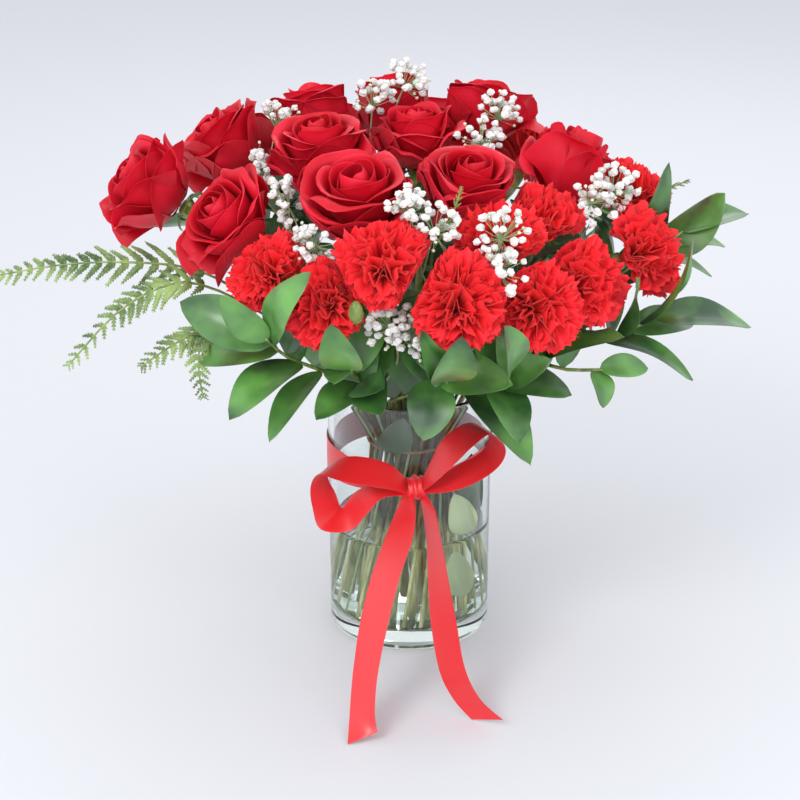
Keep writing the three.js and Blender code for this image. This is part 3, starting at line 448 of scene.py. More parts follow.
def on_path(path, t):
    """Radius and height on a curve with four control points"""
    weights = ((1 - t) ** 3, 3 * t * (1 - t) ** 2, 3 * t * t * (1 - t), t ** 3)
    return [sum(w * point[k] for w, point in zip(weights, path)) for k in (0, 1)]


def petal_path(share, opened):
    """Path of a petal: share 0 in the middle of the rose, 1 outermost"""
    first, part = (0, 2 * share) if share < 0.5 else (1, (2 * share - 1) ** 1.5)
    path = []
    for k in range(4):
        ends = []
        for step in (first, first + 1):
            ends.append([mix(a, b, opened) for a, b in zip(BUD_PATHS[step][k], OPEN_PATHS[step][k])])
        path.append([mix(a, b, part) for a, b in zip(*ends)])
    return path


def rose_petal(bm, order, opened, draw):
    """One petal of a rose of radius 1, with its own lip, curl, point, tilt and waves"""
    share = order / (ROSE_PETALS - 1)
    path = petal_path(share, opened)
    middle = order * GOLDEN_ANGLE + draw.uniform(-0.16, 0.16)
    half = mix(mix(1.9, 1.08, min(2 * share, 1)), 0.76, max(2 * share - 1, 0)) * draw.uniform(0.92, 1.1)
    lip = mix(0.01, 0.17, eased(0.1, 0.65, share)) * mix(0.7, 1.15, opened) * draw.uniform(0.4, 1.5)
    curl = mix(0.0, 0.22, eased(0.25, 0.9, share)) * draw.uniform(0.3, 1.6)
    pointed = draw.uniform(0.0, 0.11) * eased(0.25, 0.75, share)
    lapped = mix(0.26, 0.06, min(1.6 * share, 1))
    tilt = draw.uniform(-0.15, 0.15) * share
    rise = 1 + draw.uniform(-0.16 - 0.16 * opened, 0.08) * share
    wave = draw.uniform(0, ANY_PHASE)
    flat = share * opened

    def lay(across, row):
        along = 1 - (1 - row) ** 1.4
        radius, height = on_path(path, along * (1 - 0.25 * abs(across) ** 3))
        width = half * (0.3 + 0.7 * math.sin(math.pi / 2 * min(1, along / 0.65)))
        rolled = lip * max(0, (along - 0.74) / 0.26) ** 2
        corner = eased(0.3, 1, abs(across)) * eased(0.35, 0.95, along)
        tip = pointed * eased(0.7, 1, along) * max(0, 1 - 2.6 * abs(across)) ** 1.3
        radius *= 1 + lapped * across * min(1, 3 * along)
        radius += mix(1, 0.4, flat) * rolled + curl * corner + tip
        radius += mix(0.01, 0.035, share) * math.sin(5 * across + wave) * along ** 2
        height *= mix(1, rise, along)
        height += 0.5 * tip - mix(0.4, 1.1, flat) * rolled - 0.8 * curl * corner ** 2
        height += (tilt * across + mix(0.01, 0.045, share) * math.sin(4.5 * across - wave)) * along ** 2
        return round_axis(radius, middle + across * width, height)

    grown_grid(bm, 12, 12, lay)


def streaked(tree, place, scale, detail):
    """Streaks along a petal, leaf or stem: a noise drawn out lengthwise"""
    drawn_out = add(tree, "Mapping", {"Vector": place, "Scale": scale})
    return add(tree, "TexNoise", {"Vector": drawn_out, "Scale": 1, "Detail": detail})


# Velvety living petal: painted shade deep in its cup, brighter to the rim, a thin painted highlight along
# the lip, soft sheen, fine veins lengthwise
rose_finish, tree, shader = new_material(
    "velvety_rose_petal", Roughness=0.5, Sheen_Weight=0.14, Sheen_Roughness=0.35,
    Sheen_Tint="#FF6070", Specular_IOR_Level=0.25, Subsurface_Weight=0.12, Subsurface_Scale=0.002)
uv = add(tree, "UVMap", uv_map="UVMap")
place = add(tree, "TexCoord").outputs["Object"]
along = add(tree, "SeparateXYZ", {0: uv}).outputs[1]
streaks = streaked(tree, uv, (26, 2.2, 1), 3)
cloud = add(tree, "TexNoise", {"Vector": place, "Scale": 28, "Detail": 2})
# Darker towards the petal's foot is painted shade in the cup; the pale line at the very rim is a painted
# highlight
red = layered(
    tree, "#BE0A20", (along, 0.25, 0.95, 1, "#EC143A"), (cloud, 0.4, 0.7, 0.55, "#F82C48"),
    (streaks, 0.45, 0.75, 0.35, "#CC0A20"), (along, 0.955, 0.995, 0.35, "#F4505E"))
surfaced(tree, shader, red, streaks, 0.25, 0.0004)

for order, bloom in of_kind(BLOOMS, "rose"):
    draw = random.Random(ROSE_SEED + order)
    bm = bmesh.new()
    for petal in range(ROSE_PETALS):
        rose_petal(bm, petal, bloom["opened"], draw)
    set_bloom(bm, bloom, order)
    set_down(bm, bloom["name"] + "_petals", [rose_finish], bloom["name"],
             thickness=ROSE_PETAL_THICKNESS)

# Carnations: cut red carnations, each with some fifty frilled petals with toothed edges that
# spread from the calyx into a ruffled dome, the broad guard petals bent down round its foot.
CARNATION_PETALS = 50
CARNATION_SEED = 200
CARNATION_PETAL_THICKNESS = 0.35
TEETH = 8
TOOTH = 0.022


def carnation_petal(bm, order, draw):
    """One petal of a carnation of radius 1: a narrow claw, then a frilled fan"""
    share = order / (CARNATION_PETALS - 1)
    polar = math.radians(mix(6, 97, share ** 0.66)) + draw.uniform(-0.1, 0.1)
    edge = (1.05 * math.sin(polar), 0.52 + 0.6 * math.cos(polar))
    path = [(0.05, 0), (0.11, 0.34), (edge[0] * 0.6, mix(0.8, 0.68, share)), edge]
    middle = order * GOLDEN_ANGLE + draw.uniform(-0.2, 0.2)
    half = mix(0.3, 0.46, share) * draw.uniform(0.85, 1.15)
    phase = [draw.uniform(0, ANY_PHASE) for _ in range(4)]
    frill = mix(0.16, 0.09, share) * draw.uniform(0.7, 1.35)
    twist = draw.uniform(-0.9, 0.9) * mix(1, 0.4, share)
    out = round_axis(1, middle)
    side = Vector((-math.sin(middle), math.cos(middle), 0))

    def lay(across, along):
        t = along * (1 - 0.2 * across ** 4)
        tooth = TOOTH * math.cos(math.pi * TEETH * (across + 1)) * eased(0.72, 1, along)
        radius, height = on_path(path, min(t + tooth, 1.03))
        ahead, rise = (b - a for a, b in zip(on_path(path, max(t - 0.05, 0)), (radius, height)))
        along_way = (out * ahead + UPWARD * rise).normalized()
        face = along_way.cross(side).normalized()
        ruffle = frill * along ** 1.6 * (
            math.sin(4.6 * across + phase[0]) + 0.6 * math.sin(9.5 * across + phase[1])
            + 0.35 * math.sin(14 * across + phase[2] + 3 * along))
        spread = half * (0.1 + 0.9 * along ** 1.2)
        point = out * radius + UPWARD * height
        turn = twist * along
        point += (side * math.cos(turn) + face * math.sin(turn)) * across * spread + face * ruffle
        return point + along_way * 0.035 * along ** 2 * math.sin(9 * across + phase[3])

    grown_grid(bm, 16, 7, lay)


# Frilled petal: matte scarlet, with painted shade darker down in the flower, lighter to its toothed edge
carnation_finish, tree, shader = new_material(
    "frilled_carnation_petal", Roughness=0.6, Sheen_Weight=0.25, Sheen_Roughness=0.5,
    Sheen_Tint="#FF9A8C", Specular_IOR_Level=0.25, Subsurface_Weight=0.25, Subsurface_Scale=0.002)
uv = add(tree, "UVMap", uv_map="UVMap")
along = add(tree, "SeparateXYZ", {0: uv}).outputs[1]
streaks = streaked(tree, uv, (18, 1.5, 1), 2)
# Darker low on each petal is painted shade down in the flower
red = layered(tree, "#F01A28", (along, 0.3, 0.98, 1, "#FC3644"), (streaks, 0.45, 0.7, 0.4, "#FF6A70"))
surfaced(tree, shader, red, streaks, 0.3, 0.0004)

for order, bloom in of_kind(BLOOMS, "carnation"):
    draw = random.Random(CARNATION_SEED + order)
    bm = bmesh.new()
    for petal in range(CARNATION_PETALS):
        carnation_petal(bm, petal, draw)
    set_bloom(bm, bloom, order)
    set_down(bm, bloom["name"] + "_petals", [carnation_finish], bloom["name"],
             thickness=CARNATION_PETAL_THICKNESS)

# Cut stems of the roses and carnations, each with its green calyx and a few leaves. They cross in
# the bunch as a spiral, stand on the vase's floor and are pressed together where the tie holds
# them. One closed bud on a side stem shows below the front carnation.
TIE_HEIGHT = 154
BUNCH_AT_TIE = 31
BUNCH_AT_FOOT = 51
BUNCH_AT_RIM = 58
BUNCH_TURN = math.radians(-35)
FLOWER_SPREAD = 228
FOOT = GLASS_BASE + 0.6
ROSE_STEM = 2.7
CARNATION_STEM = 2.2
STEM_SIDES = 10
STEM_SEED = 600
STEM_NODE = 1.06
SEPALS = 5
SEPAL_ANGLE = 1.2566
SEPAL_LENGTH = 17
# A stem's own leaves: how many, how far each reaches and how wide it is
ROSE_LEAVES = (4, 30, 28)
CARNATION_LEAVES = (2, 36, 7)
# How far back from the bloom a place on the calyx is, and how thick it is there
ROSE_CALYX = [(24, ROSE_STEM), (11, 3.4), (8.5, 6.2), (5, 8.2), (2.2, 7.6), (0.3, 4.5)]
CARNATION_CALYX = [(30, CARNATION_STEM), (24, 3.8), (17, 5.4), (9, 6.2), (2, 6.6), (0.3, 6.2)]
SIDE_BUD = [(-43, -88, 279), (-37, -130, 290), (-36, -157, 303), (-36, -160, 306), (-36, -162, 310),
            (-36, -164, 315), (-36, -165, 319)]
SIDE_BUD_RADII = [1.2, 1.1, 1.4, 4.2, 5.0, 4.4, 2.0]
LEAF_CLEARANCE = 4.8
OWN_LEAF, SEPAL = 1, 2


def bunch_place(share, angle, height):
    """Place in the bunch at a height: every stem keeps its own, so no two meet"""
    below = min((height - FOOT) / (TIE_HEIGHT - FOOT), 1)
    above = max((height - TIE_HEIGHT) / (VASE_HEIGHT - TIE_HEIGHT), 0)
    along = mix(BUNCH_AT_FOOT * math.cos(BUNCH_TURN), BUNCH_AT_TIE, below)
    along += above * (BUNCH_AT_RIM - BUNCH_AT_TIE)
    aside = mix(BUNCH_AT_FOOT * math.sin(BUNCH_TURN), 0, below)
    return Vector((
        share * (along * math.cos(angle) - aside * math.sin(angle)),
        share * (along * math.sin(angle) + aside * math.cos(angle)), height))


def paint(corners, index):
    """Gives the faces of these corners a material"""
    for corner in corners:
        for face in corner.link_faces:
            face.material_index = index


def rod(bm, points, radii, sides):
    """A round rod through the points, closed at both ends"""
    points = [points[0]] + points + [points[-1]]
    radii = [0] + radii + [0]
    frames, across = [], Vector((1, 0, 0))
    for i in range(len(points)):
        way = (points[min(i + 1, len(points) - 1)] - points[max(i - 1, 0)]).normalized()
        across = (across - way * across.dot(way)).normalized()
        frames.append((across.copy(), way.cross(across)))

    def lay(turn, along):
        i = round(along * (len(points) - 1))
        angle = math.pi * (turn + 1)
        one, two = frames[i]
        return points[i] + radii[i] * (one * math.cos(angle) + two * math.sin(angle))

    corners = grown_grid(bm, sides, len(points) - 1, lay)
    bmesh.ops.remove_doubles(bm, verts=corners, dist=SAME_CORNER)


def sepal(bm, foot, axis, angle, length):
    """One of the five pointed green sepals under a rose, bent back"""
    out = UPWARD.rotation_difference(axis) @ round_axis(1, angle)
    side = axis.cross(out)

    def lay(across, along):
        width = 3.6 * math.sin(math.pi * (0.12 + 0.88 * along)) ** 0.8 * (1 - along) ** 0.3
        bend = length * (math.sin(1.9 * along) * 0.75)
        drop = length * 0.55 * (1 - math.cos(1.7 * along))
        return foot + out * (4 + bend) - axis * (drop - 2) + side * across * width

    paint(grown_grid(bm, 2, 6, lay), SEPAL)


def beside_blooms(point, clearance):
    """A leaf or floret that would meet a bloom lies on it instead"""
    for bloom in BLOOMS:
        out = point - bloom["centre"]
        reach = bloom["radius"] + clearance
        if out.length < reach:
            point = bloom["centre"] + out.normalized() * reach
    return point


def oval_leaf(bm, root, tip, width, draw, faces, near_blooms=True):
    """A pointed oval leaf, folded a little along its rib and arched, that looks towards faces"""
    way = tip - root
    length = way.length
    way.normalize()
    up = (faces - way * faces.dot(way)).normalized()
    side = way.cross(up)
    wave, lean = draw.uniform(0, ANY_PHASE), draw.uniform(-0.12, 0.12)

    def lay(across, along):
        swell = math.sin(math.pi * along ** 0.85)
        half = width / 2 * (0.86 * swell ** 0.64 + 0.14 * swell)
        lift = 0.1 * length * math.sin(math.pi * along) + 0.13 * width * abs(across) ** 1.3 * swell
        lift += 0.02 * width * math.sin(7 * along + wave) * across + lean * half * across
        point = root + way * length * along + side * across * half + up * lift
        return beside_blooms(point, LEAF_CLEARANCE) if near_blooms and along > 0.2 else point

    corners = grown_grid(bm, 8, 14, lay)
    bmesh.ops.remove_doubles(bm, verts=corners, dist=SAME_CORNER)
    return [corner for corner in corners if corner.is_valid]


bm = bmesh.new()
rod(bm, [Vector(point) for point in SIDE_BUD], SIDE_BUD_RADII, STEM_SIDES)
for order, bloom in enumerate(BLOOMS):
    draw = random.Random(STEM_SEED + order)
    rose = bloom["kind"] == "rose"
    thick, calyx = (ROSE_STEM, ROSE_CALYX) if rose else (CARNATION_STEM, CARNATION_CALYX)
    base, axis = bloom["base"], bloom["axis"]
    share = math.hypot(base.x, base.y) / FLOWER_SPREAD
    angle = math.atan2(base.y, base.x)
    lower = [bunch_place(share, angle, FOOT + (TIE_HEIGHT - 4 - FOOT) * k / 5) for k in range(6)]
    turn_out = [bunch_place(share, angle, TIE_HEIGHT + 4), bunch_place(share, angle, VASE_HEIGHT + 6),
                base - axis * 44, base - axis * 24]
    upper = [on_curve(turn_out, k / 8) for k in range(8)]
    top = [base - axis * back for back, _ in calyx]
    radii = [thick * (STEM_NODE if k % 4 == 2 else 1) for k in range(14)] + [radius for _, radius in calyx]
    rod(bm, lower + upper + top, radii, STEM_SIDES)
    leaves, reach, width = ROSE_LEAVES if rose else CARNATION_LEAVES
    for k in range(leaves):
        out = round_axis(1, order + GOLDEN_ANGLE * k)
        root = base - axis * (26 + 13 * k)
        tip = root + out * reach + UPWARD * 16
        paint(oval_leaf(bm, root, tip, width, draw, UPWARD + 0.4 * out), OWN_LEAF)
    if rose:
        for k in range(SEPALS):
            sepal(bm, base - axis * 4, axis, SEPAL_ANGLE * k + order, SEPAL_LENGTH)

# Smooth waxy stem: olive green; duller and browner inside the bunch, which is painted shade; sage under
# the water, which is painted glare of the water and glass
stem_finish, tree, shader = new_material("waxy_green_stem", Roughness=0.42, Coat_Weight=0.1)
place = add(tree, "TexCoord").outputs["Object"]
height = add(tree, "SeparateXYZ", {0: place}).outputs[2]
streaks = streaked(tree, place, (160, 160, 14), 3)
green, painted_glare_sage, painted_shade_brown = [
    layered(tree, dull, (streaks, 0.36, 0.64, 1, bright))
    for dull, bright in (("#5A6E2E", "#9AA85A"), ("#6F7C42", "#D2D29A"), ("#1F1C0C", "#716C34"))]
# Painted shade: dark brown from the water up to 170 mm, olive green again by 240 mm
above = layered(tree, painted_shade_brown, (height, 0.17, 0.24, 1, green))
# Painted glare: pale sage below the water's level
surfaced(tree, shader, layered(tree, painted_glare_sage, (height, 0.078, 0.092, 1, above)), streaks, 0.3, 0.0005)

# Flower's own leaf: dull dark green with a net of fine veins
own_leaf_finish, tree, shader = new_material("dull_flower_leaf", Roughness=0.5)
place = add(tree, "TexCoord").outputs["Object"]
cloud = add(tree, "TexNoise", {"Vector": place, "Scale": 30, "Detail": 2})
net = add(tree, "TexVoronoi", {"Vector": place, "Scale": 380}, feature="DISTANCE_TO_EDGE")
surfaced(tree, shader, layered(tree, "#1E3F1E", (cloud, 0, 1, 1, "#47703A")), net, 0.4, 0.0005)

# Sepal: leafy green, paler to its point
sepal_finish, tree, shader = new_material("leafy_sepal", Roughness=0.5)
uv = add(tree, "UVMap", uv_map="UVMap")
along = add(tree, "SeparateXYZ", {0: uv}).outputs[1]
fill(tree, shader, {"Base Color": layered(tree, "#4E7A33", (along, 0, 1, 1, "#8DAA5A"))})
set_down(bm, "cut_stems", [stem_finish, own_leaf_finish, sepal_finish], "flower_stems")

# Tie: natural twisted fibre cord, drawn tight round the bunch inside the vase's neck, just over
# the band. It is what keeps the stems crossed in their spiral.
CORD = 1.3
CORD_TWIST = 40
FOLIAGE_RING = 0.93
RUSCUS_STEM = 1.4
cord_radius = FOLIAGE_RING * BUNCH_AT_TIE + RUSCUS_STEM + 0.3 + CORD


def cord_lay(turn, along):
    """Round the bunch, with the cord's two strands twisted on each other"""
    round_cord, way = math.pi * (turn + 1), 2 * math.pi * along
    strand = CORD * (0.84 + 0.16 * math.cos(2 * round_cord - CORD_TWIST * way))
    radius = cord_radius + strand * math.cos(round_cord)
    return round_axis(radius, way, TIE_HEIGHT + strand * math.sin(round_cord))


def mottled(name, roughness, dark, light, grain, detail):
    """A finish whose colour wavers between two, and the noise that it wavers with"""
    finish, tree, shader = new_material(name, Roughness=roughness)
    place = add(tree, "TexCoord").outputs["Object"]
    noise = add(tree, "TexNoise", {"Vector": place, "Scale": grain, "Detail": detail})
    fill(tree, shader, {"Base Color": layered(tree, dark, (noise, 0, 1, 1, light))})
    return finish, tree, shader, noise


bm = bmesh.new()
grown_grid(bm, 8, 400, cord_lay)
bmesh.ops.remove_doubles(bm, verts=bm.verts, dist=SEAM)
bmesh.ops.recalc_face_normals(bm, faces=bm.faces)
# Jute cord: dull tan of uneven tone, hairy and rough
cord_finish, tree, shader, fibre = mottled("twisted_jute_cord", 0.9, "#5E4527", "#B08C5C", 900, 3)
rough = add(tree, "Bump", {"Height": fibre, "Strength": 0.6, "Distance": 0.0004})
fill(tree, shader, {"Normal": rough})
set_down(bm, "tie_cord", [cord_finish], "tie")

# Foliage's places, in their order round the bunch from the right towards the back: each one's
# name, the route that its stem takes on from the rim, and what it bears. A ruscus leaf has its
# place on the route, its tip, its width and, where it is turned, the way that it looks. A fern
# has where its leaflets start, their reach, its pairs and, on one, a side branch. A spray of
# baby's breath has its clusters' middles.
PLANTS = [
    ("ruscus_high_right", [(118, 4, 252), (165, 8, 288), (205, 14, 314)], [
        (0.62, (200, 52, 300), 28), (0.74, (188, 4, 368), 20, (0.4, -1, 0.2)), (0.8, (228, 22, 275), 26),
        (0.86, (230, 4, 345), 36), (0.92, (238, 30, 296), 26), (1, (252, 22, 324), 34)]),
    ("babys_breath_right", [(100, -8, 268), (122, -24, 318)], [(146, -22, 354), (127, -44, 352)]),
    ("fern_right", [(112, 38, 262), (150, 50, 300), (184, 59, 326), (212, 64, 338)], [0.4, 17, 9]),
    ("ruscus_back_right", [(96, 70, 250), (138, 106, 278), (166, 128, 290)], [
        (0.6, (170, 80, 262), 32), (0.7, (120, 150, 262), 32), (0.85, (208, 112, 290), 32),
        (0.92, (164, 182, 284), 32), (1, (214, 160, 288), 34)]),
    ("babys_breath_centre", [(42, 40, 225), (50, 34, 290), (46, 26, 336)], [(52, 17, 380), (66, 46, 392)]),
    ("ruscus_rear", [(16, 88, 240), (18, 136, 266), (18, 160, 280)], [
        (0.5, (60, 128, 230), 32), (0.6, (-30, 140, 240), 32), (0.8, (66, 182, 276), 32),
        (0.9, (-26, 204, 274), 32), (1, (30, 226, 262), 34)]),
    ("babys_breath_back", [(-24, 60, 290), (-32, 58, 340)], [(-28, 60, 398), (-4, 80, 408)]),
    ("fern_rear", [(-36, 84, 250), (-66, 128, 284), (-96, 186, 296), (-120, 240, 280)], [0.4, 24, 11]),
    ("ruscus_back_left", [(-80, 66, 250), (-118, 104, 274), (-150, 128, 286)], [
        (0.55, (-92, 150, 258), 32), (0.68, (-166, 84, 262), 32), (0.82, (-138, 178, 276), 32),
        (0.9, (-204, 104, 290), 32), (1, (-196, 166, 274), 34)]),
    ("babys_breath_left", [(-76, 36, 286), (-108, 18, 338)], [(-108, 2, 364), (-100, 52, 384)]),
    ("fern_far_left",
     [(-110, -8, 262), (-154, -24, 295), (-205, -36, 305), (-252, -40, 304), (-298, -40, 296)],
     [0.36, 25, 16]),
    ("fern_left",
     [(-106, -28, 262), (-150, -50, 293), (-178, -62, 294), (-208, -76, 279), (-240, -92, 247)],
     [0.36, 22, 13]),
    ("fern_low_left", [(-98, -44, 252), (-136, -66, 268), (-162, -82, 262), (-188, -96, 248)],
     [0.46, 19, 9, [(-134, -66, 267), (-146, -80, 264), (-149, -90, 246), (-146, -94, 224)]]),
    ("ruscus_left", [(-60, -72, 234), (-86, -98, 256), (-98, -122, 278)], [
        (0.5, (-98, -126, 203), 22), (0.66, (-124, -136, 224), 34), (0.96, (-65, -153, 336), 26),
        (0.86, (-150, -84, 248), 30), (0.94, (-160, -88, 293), 34), (1, (-128, -124, 310), 24)]),
    ("babys_breath_lower_left", [(-44, -60, 260), (-62, -80, 306)], [(-64, -100, 338), (-86, -60, 356)]),
    ("ruscus_front_left", [(-32, -76, 226), (-40, -104, 246), (-40, -134, 260)], [
        (0.36, (-66, -112, 214), 30), (0.4, (-20, -122, 222), 30), (0.5, (-18, -128, 244), 32),
        (0.56, (-24, -108, 284), 30), (0.7, (-52, -144, 254), 28), (1, (-52, -164, 304), 28)]),
    ("babys_breath_front", [(-10, -74, 240), (-10, -112, 272)], [(-14, -134, 292), (2, -132, 286)]),
    ("ruscus_front", [(14, -84, 228), (20, -106, 246), (24, -146, 256)], [
        (0.56, (9, -126, 204), 34), (0.62, (70, -126, 246), 32), (0.9, (6, -176, 304), 28),
        (1, (32, -188, 304), 30)]),
    ("babys_breath_front_centre", [(22, -62, 262), (8, -98, 316)], [(16, -116, 352), (-1, -108, 364)]),
    ("ruscus_front_right", [(44, -72, 224), (66, -104, 242), (66, -136, 256)], [
        (0.3, (84, -120, 183), 38), (0.57, (75, -138, 208), 32), (0.62, (112, -110, 232), 28),
        (0.68, (96, -124, 264), 26), (1, (60, -174, 306), 28)]),
    ("fern_centre", [(40, -50, 260), (14, -82, 318), (26, -92, 350), (34, -100, 378)], [0.74, 6, 6]),
    ("ruscus_right", [(82, -64, 238), (110, -92, 244), (134, -100, 247)], [
        (0.5, (148, -102, 272), 34), (0.97, (134, -114, 224), 22), (1, (168, -84, 242), 20)]),
    ("babys_breath_front_right", [(66, -56, 262), (50, -106, 306)], [(58, -136, 330), (60, -122, 350)]),
    ("ruscus_far_right", [(104, -42, 240), (146, -56, 256), (176, -50, 268)], [
        (0.72, (204, -62, 224), 30), (0.8, (152, -92, 312), 26), (0.86, (210, -16, 252), 26),
        (0.93, (196, -72, 334), 28), (1, (250, -30, 253), 32)]),
]
FOLIAGE = []
for order, (name, route, bears) in enumerate(PLANTS):
    angle = order * 2 * math.pi / len(PLANTS)
    foot, tied, at_rim = [bunch_place(FOLIAGE_RING, angle, height)
                          for height in (FOOT, TIE_HEIGHT, VASE_HEIGHT + 5)]
    FOLIAGE.append({
        "name": name, "kind": name.split("_")[0], "in_vase": (foot, tied), "bears": bears,
        "outside": [at_rim] + [Vector(point) for point in route],
    })


def on_route(points, t):
    """Place along straight spans, 0 at the rim and 1 at the route's end"""
    lengths = [(b - a).length for a, b in zip(points, points[1:])]
    left = t * sum(lengths)
    span = 0
    while span < len(lengths) - 1 and left > lengths[span]:
        left -= lengths[span]
        span += 1
    return points[span].lerp(points[span + 1], left / lengths[span])


def foliage_stem(bm, plant, thick, taper, index):
    """A stem from the vase's floor through the tie and on along its route, thinner to its end"""
    foot, tied = plant["in_vase"]
    outside = plant["outside"]
    count = 3 * (len(outside) - 1)
    points = [foot.lerp(tied, k / 3) for k in range(4)]
    points += [on_curve(outside, k / count) for k in range(count + 1)]
    radii = [thick * (1 - taper * max(0, k - 4) / count) for k in range(len(points))]
    corner_count = len(bm.verts)
    rod(bm, points, radii, 6)
    bm.verts.ensure_lookup_table()
    paint(bm.verts[corner_count:], index)


# Ruscus: glossy leathery oval leaves with a drawn-out point and veins that run their length,
# set one by one on arching green stems, small ones low down in the bunch's shade. A few hang
# inside the vase, and the two lowest of them show their pale undersides, whose pale sage is also
# painted glare of the water and glass.
RUSCUS_SEED = 300
RUSCUS_TAPER = 0.35
LEAF_THICKNESS = 0.4
LEAF_FACING = 0.7
LEAF_END = 0.98
INNER_LEAVES = 8
INNER_LEAF_WIDTH = 32
LEAF_FACE, STEM, UNDERSIDE_AND_GLARE = 0, 1, 2
# The two lowest leaves' pale finish also paints the glare of the water and glass over them
LEAVES_IN_VASE = [
    ((39, -32, 34), (31, -38, 76), 25, UNDERSIDE_AND_GLARE), ((42, -32, 86), (33, -40, 124), 24, UNDERSIDE_AND_GLARE),
    ((42, -20, 96), (46, -24, 150), 22, LEAF_FACE), ((-16, -44, 160), (-4, -50, 190), 26, LEAF_FACE),
]
LOOKING_OUT = Vector((0.2, -1, 0.3))


def outward(place):
    """The way that a leaf at a place looks: away from the bunch, and up"""
    return Vector((place[0], place[1], 0)).normalized() + UPWARD * LEAF_FACING


# Glossy leaf: waxy dark green with fine lengthwise veins and a paler rib, with painted shade that
# makes it darker and plainer within 60 to 100 mm of the bunch's middle, where little light comes
leaf_finish, tree, shader = new_material(
    "glossy_ruscus_leaf", Roughness=0.38, Coat_Weight=0.3, Coat_Roughness=0.25, Specular_IOR_Level=0.65)
uv = add(tree, "UVMap", uv_map="UVMap")
place = add(tree, "TexCoord").outputs["Object"]
veins = streaked(tree, uv, (30, 1.2, 1), 2)
cloud = add(tree, "TexNoise", {"Vector": place, "Scale": 24, "Detail": 3})
rib = add(tree, "MapRange", {
    "Value": off_middle(tree, uv), "From Min": 0.04, "From Max": 0, "To Max": 0.85})
green = layered(
    tree, "#1C451E", (cloud, 0.35, 0.7, 1, "#629C45"), (veins, 0.5, 0.72, 0.6, "#76A658"),
    (rib, 0, 1, 1, "#A6C890"))
level = add(tree, "VectorMath", {0: place, 1: (1, 1, 0)}, operation="MULTIPLY")
from_axis = add(tree, "VectorMath", {0: level}, operation="LENGTH")
# Painted shade: darker green near the bunch's middle
inner_painted_shade = layered(tree, "#24461C", (from_axis, 0.06, 0.1, 1, green))
grooves = add(tree, "Math", {0: veins, 1: rib}, operation="SUBTRACT")
surfaced(tree, shader, inner_painted_shade, grooves, 0.5, 0.0008)

# Leaf's underside, and painted glare of the water and glass on the leaves in the vase: pale matte sage,
# with its veins a little raised
underside_and_glare_finish, tree, shader = new_material("pale_leaf_underside_and_glare", Roughness=0.55)
veins = streaked(tree, add(tree, "UVMap", uv_map="UVMap"), (26, 1.2, 1), 2)
surfaced(tree, shader, layered(tree, "#93AB76", (veins, 0, 1, 1, "#CAD6B2")), veins, 0.4, 0.0006)

for order, plant in of_kind(FOLIAGE, "ruscus"):
    draw = random.Random(RUSCUS_SEED + order)
    bm = bmesh.new()
    foliage_stem(bm, plant, RUSCUS_STEM, RUSCUS_TAPER, STEM)
    for on, tip, width, *looks in plant["bears"]:
        faces = Vector(looks[0]) if looks else outward(tip)
        oval_leaf(bm, on_route(plant["outside"], LEAF_END * on), Vector(tip), width, draw, faces)
    for k in range(INNER_LEAVES):
        root = on_route(plant["outside"], 0.06 + 0.1 * k)
        aside = Vector((-root.y, root.x, 0)).normalized() * (20 if k % 2 else -20)
        tip = root + aside + UPWARD * 58 - 0.18 * Vector((root.x, root.y, 0))
        oval_leaf(bm, root, tip, INNER_LEAF_WIDTH, draw, outward(root))
    if plant["name"] == "ruscus_front_right":
        for root, tip, width, finish in LEAVES_IN_VASE:
            paint(oval_leaf(bm, Vector(root), Vector(tip), width, draw, LOOKING_OUT, False), finish)
    set_down(bm, plant["name"] + "_leaves", [leaf_finish, stem_finish, underside_and_glare_finish], plant["name"],
             thickness=LEAF_THICKNESS)

# Fern: flat yellow-green fronds, each with side ribs in pairs that lean forward, longest near
# the base and tapering to the tip. Each side rib has two rows of broad pointed lobes that run
# together near its root. One frond has a small side branch that hangs down.
FERN_SEED = 400
FERN_STEM = 1.2
FERN_TAPER = 0.65
FERN_THICKNESS = 0.3
FROND_LEAN = 0.8
SIDE_RIBS = 1.2
BRANCH_RADIUS = 0.5
# Where the side branch's leaflets start, their reach and its pairs
BRANCH_BEARS = [0.1, 17, 9]


def fern_frond(bm, route, leaf_from, reach, pairs, draw):
    """A frond's side ribs, in pairs along its route"""
    lean = math.copysign(FROND_LEAN, route[-1].y)
    ribs = round(SIDE_RIBS * pairs)
    for k in range(ribs):
        share = (k + 0.5) / ribs
        t = mix(leaf_from, 1, 1 - (1 - share) ** 1.3)
        point = on_curve(route, t)
        way = (on_curve(route, min(t + NEAR, 1)) - on_curve(route, t - NEAR)).normalized()
        side = Vector((0, lean, 1)).cross(way).normalized()
        up = way.cross(side)
        grown = mix(1, 0.2, share) * min(1, 0.5 + 4 * share)
        for hand in (1, -1):
            length = 1.15 * reach * grown * draw.uniform(0.85, 1.12)
            forward = 0.8 + 3 / reach + draw.uniform(-0.12, 0.15)
            rib = (side * hand + way * forward - up * draw.uniform(-0.05, 0.3)).normalized()
            side_frond(bm, point, rib, up.cross(rib).normalized(), up, length, draw)


def side_frond(bm, point, rib, cross, up, length, draw):
    """A side rib with its lobes, broad and run together near its root, small to its tip"""
    lobes = max(3, round(length / 2.6))
    for n in range(lobes):
        part = (n + 0.5) / lobes
        foot = point + rib * length * part * 0.92 - up * 0.12 * length * part * part
        size = mix(0.3, 0.13, part) * min(length, 15) * draw.uniform(0.85, 1.15)
        for edge in (1, -1):
            leaflet(bm, foot, (cross * edge + rib * 0.95).normalized(), rib, up, size, 0.4)
    tip = point + rib * length - up * 0.12 * length
    leaflet(bm, point, (tip - point).normalized(), cross, up, (tip - point).length, 0.07)


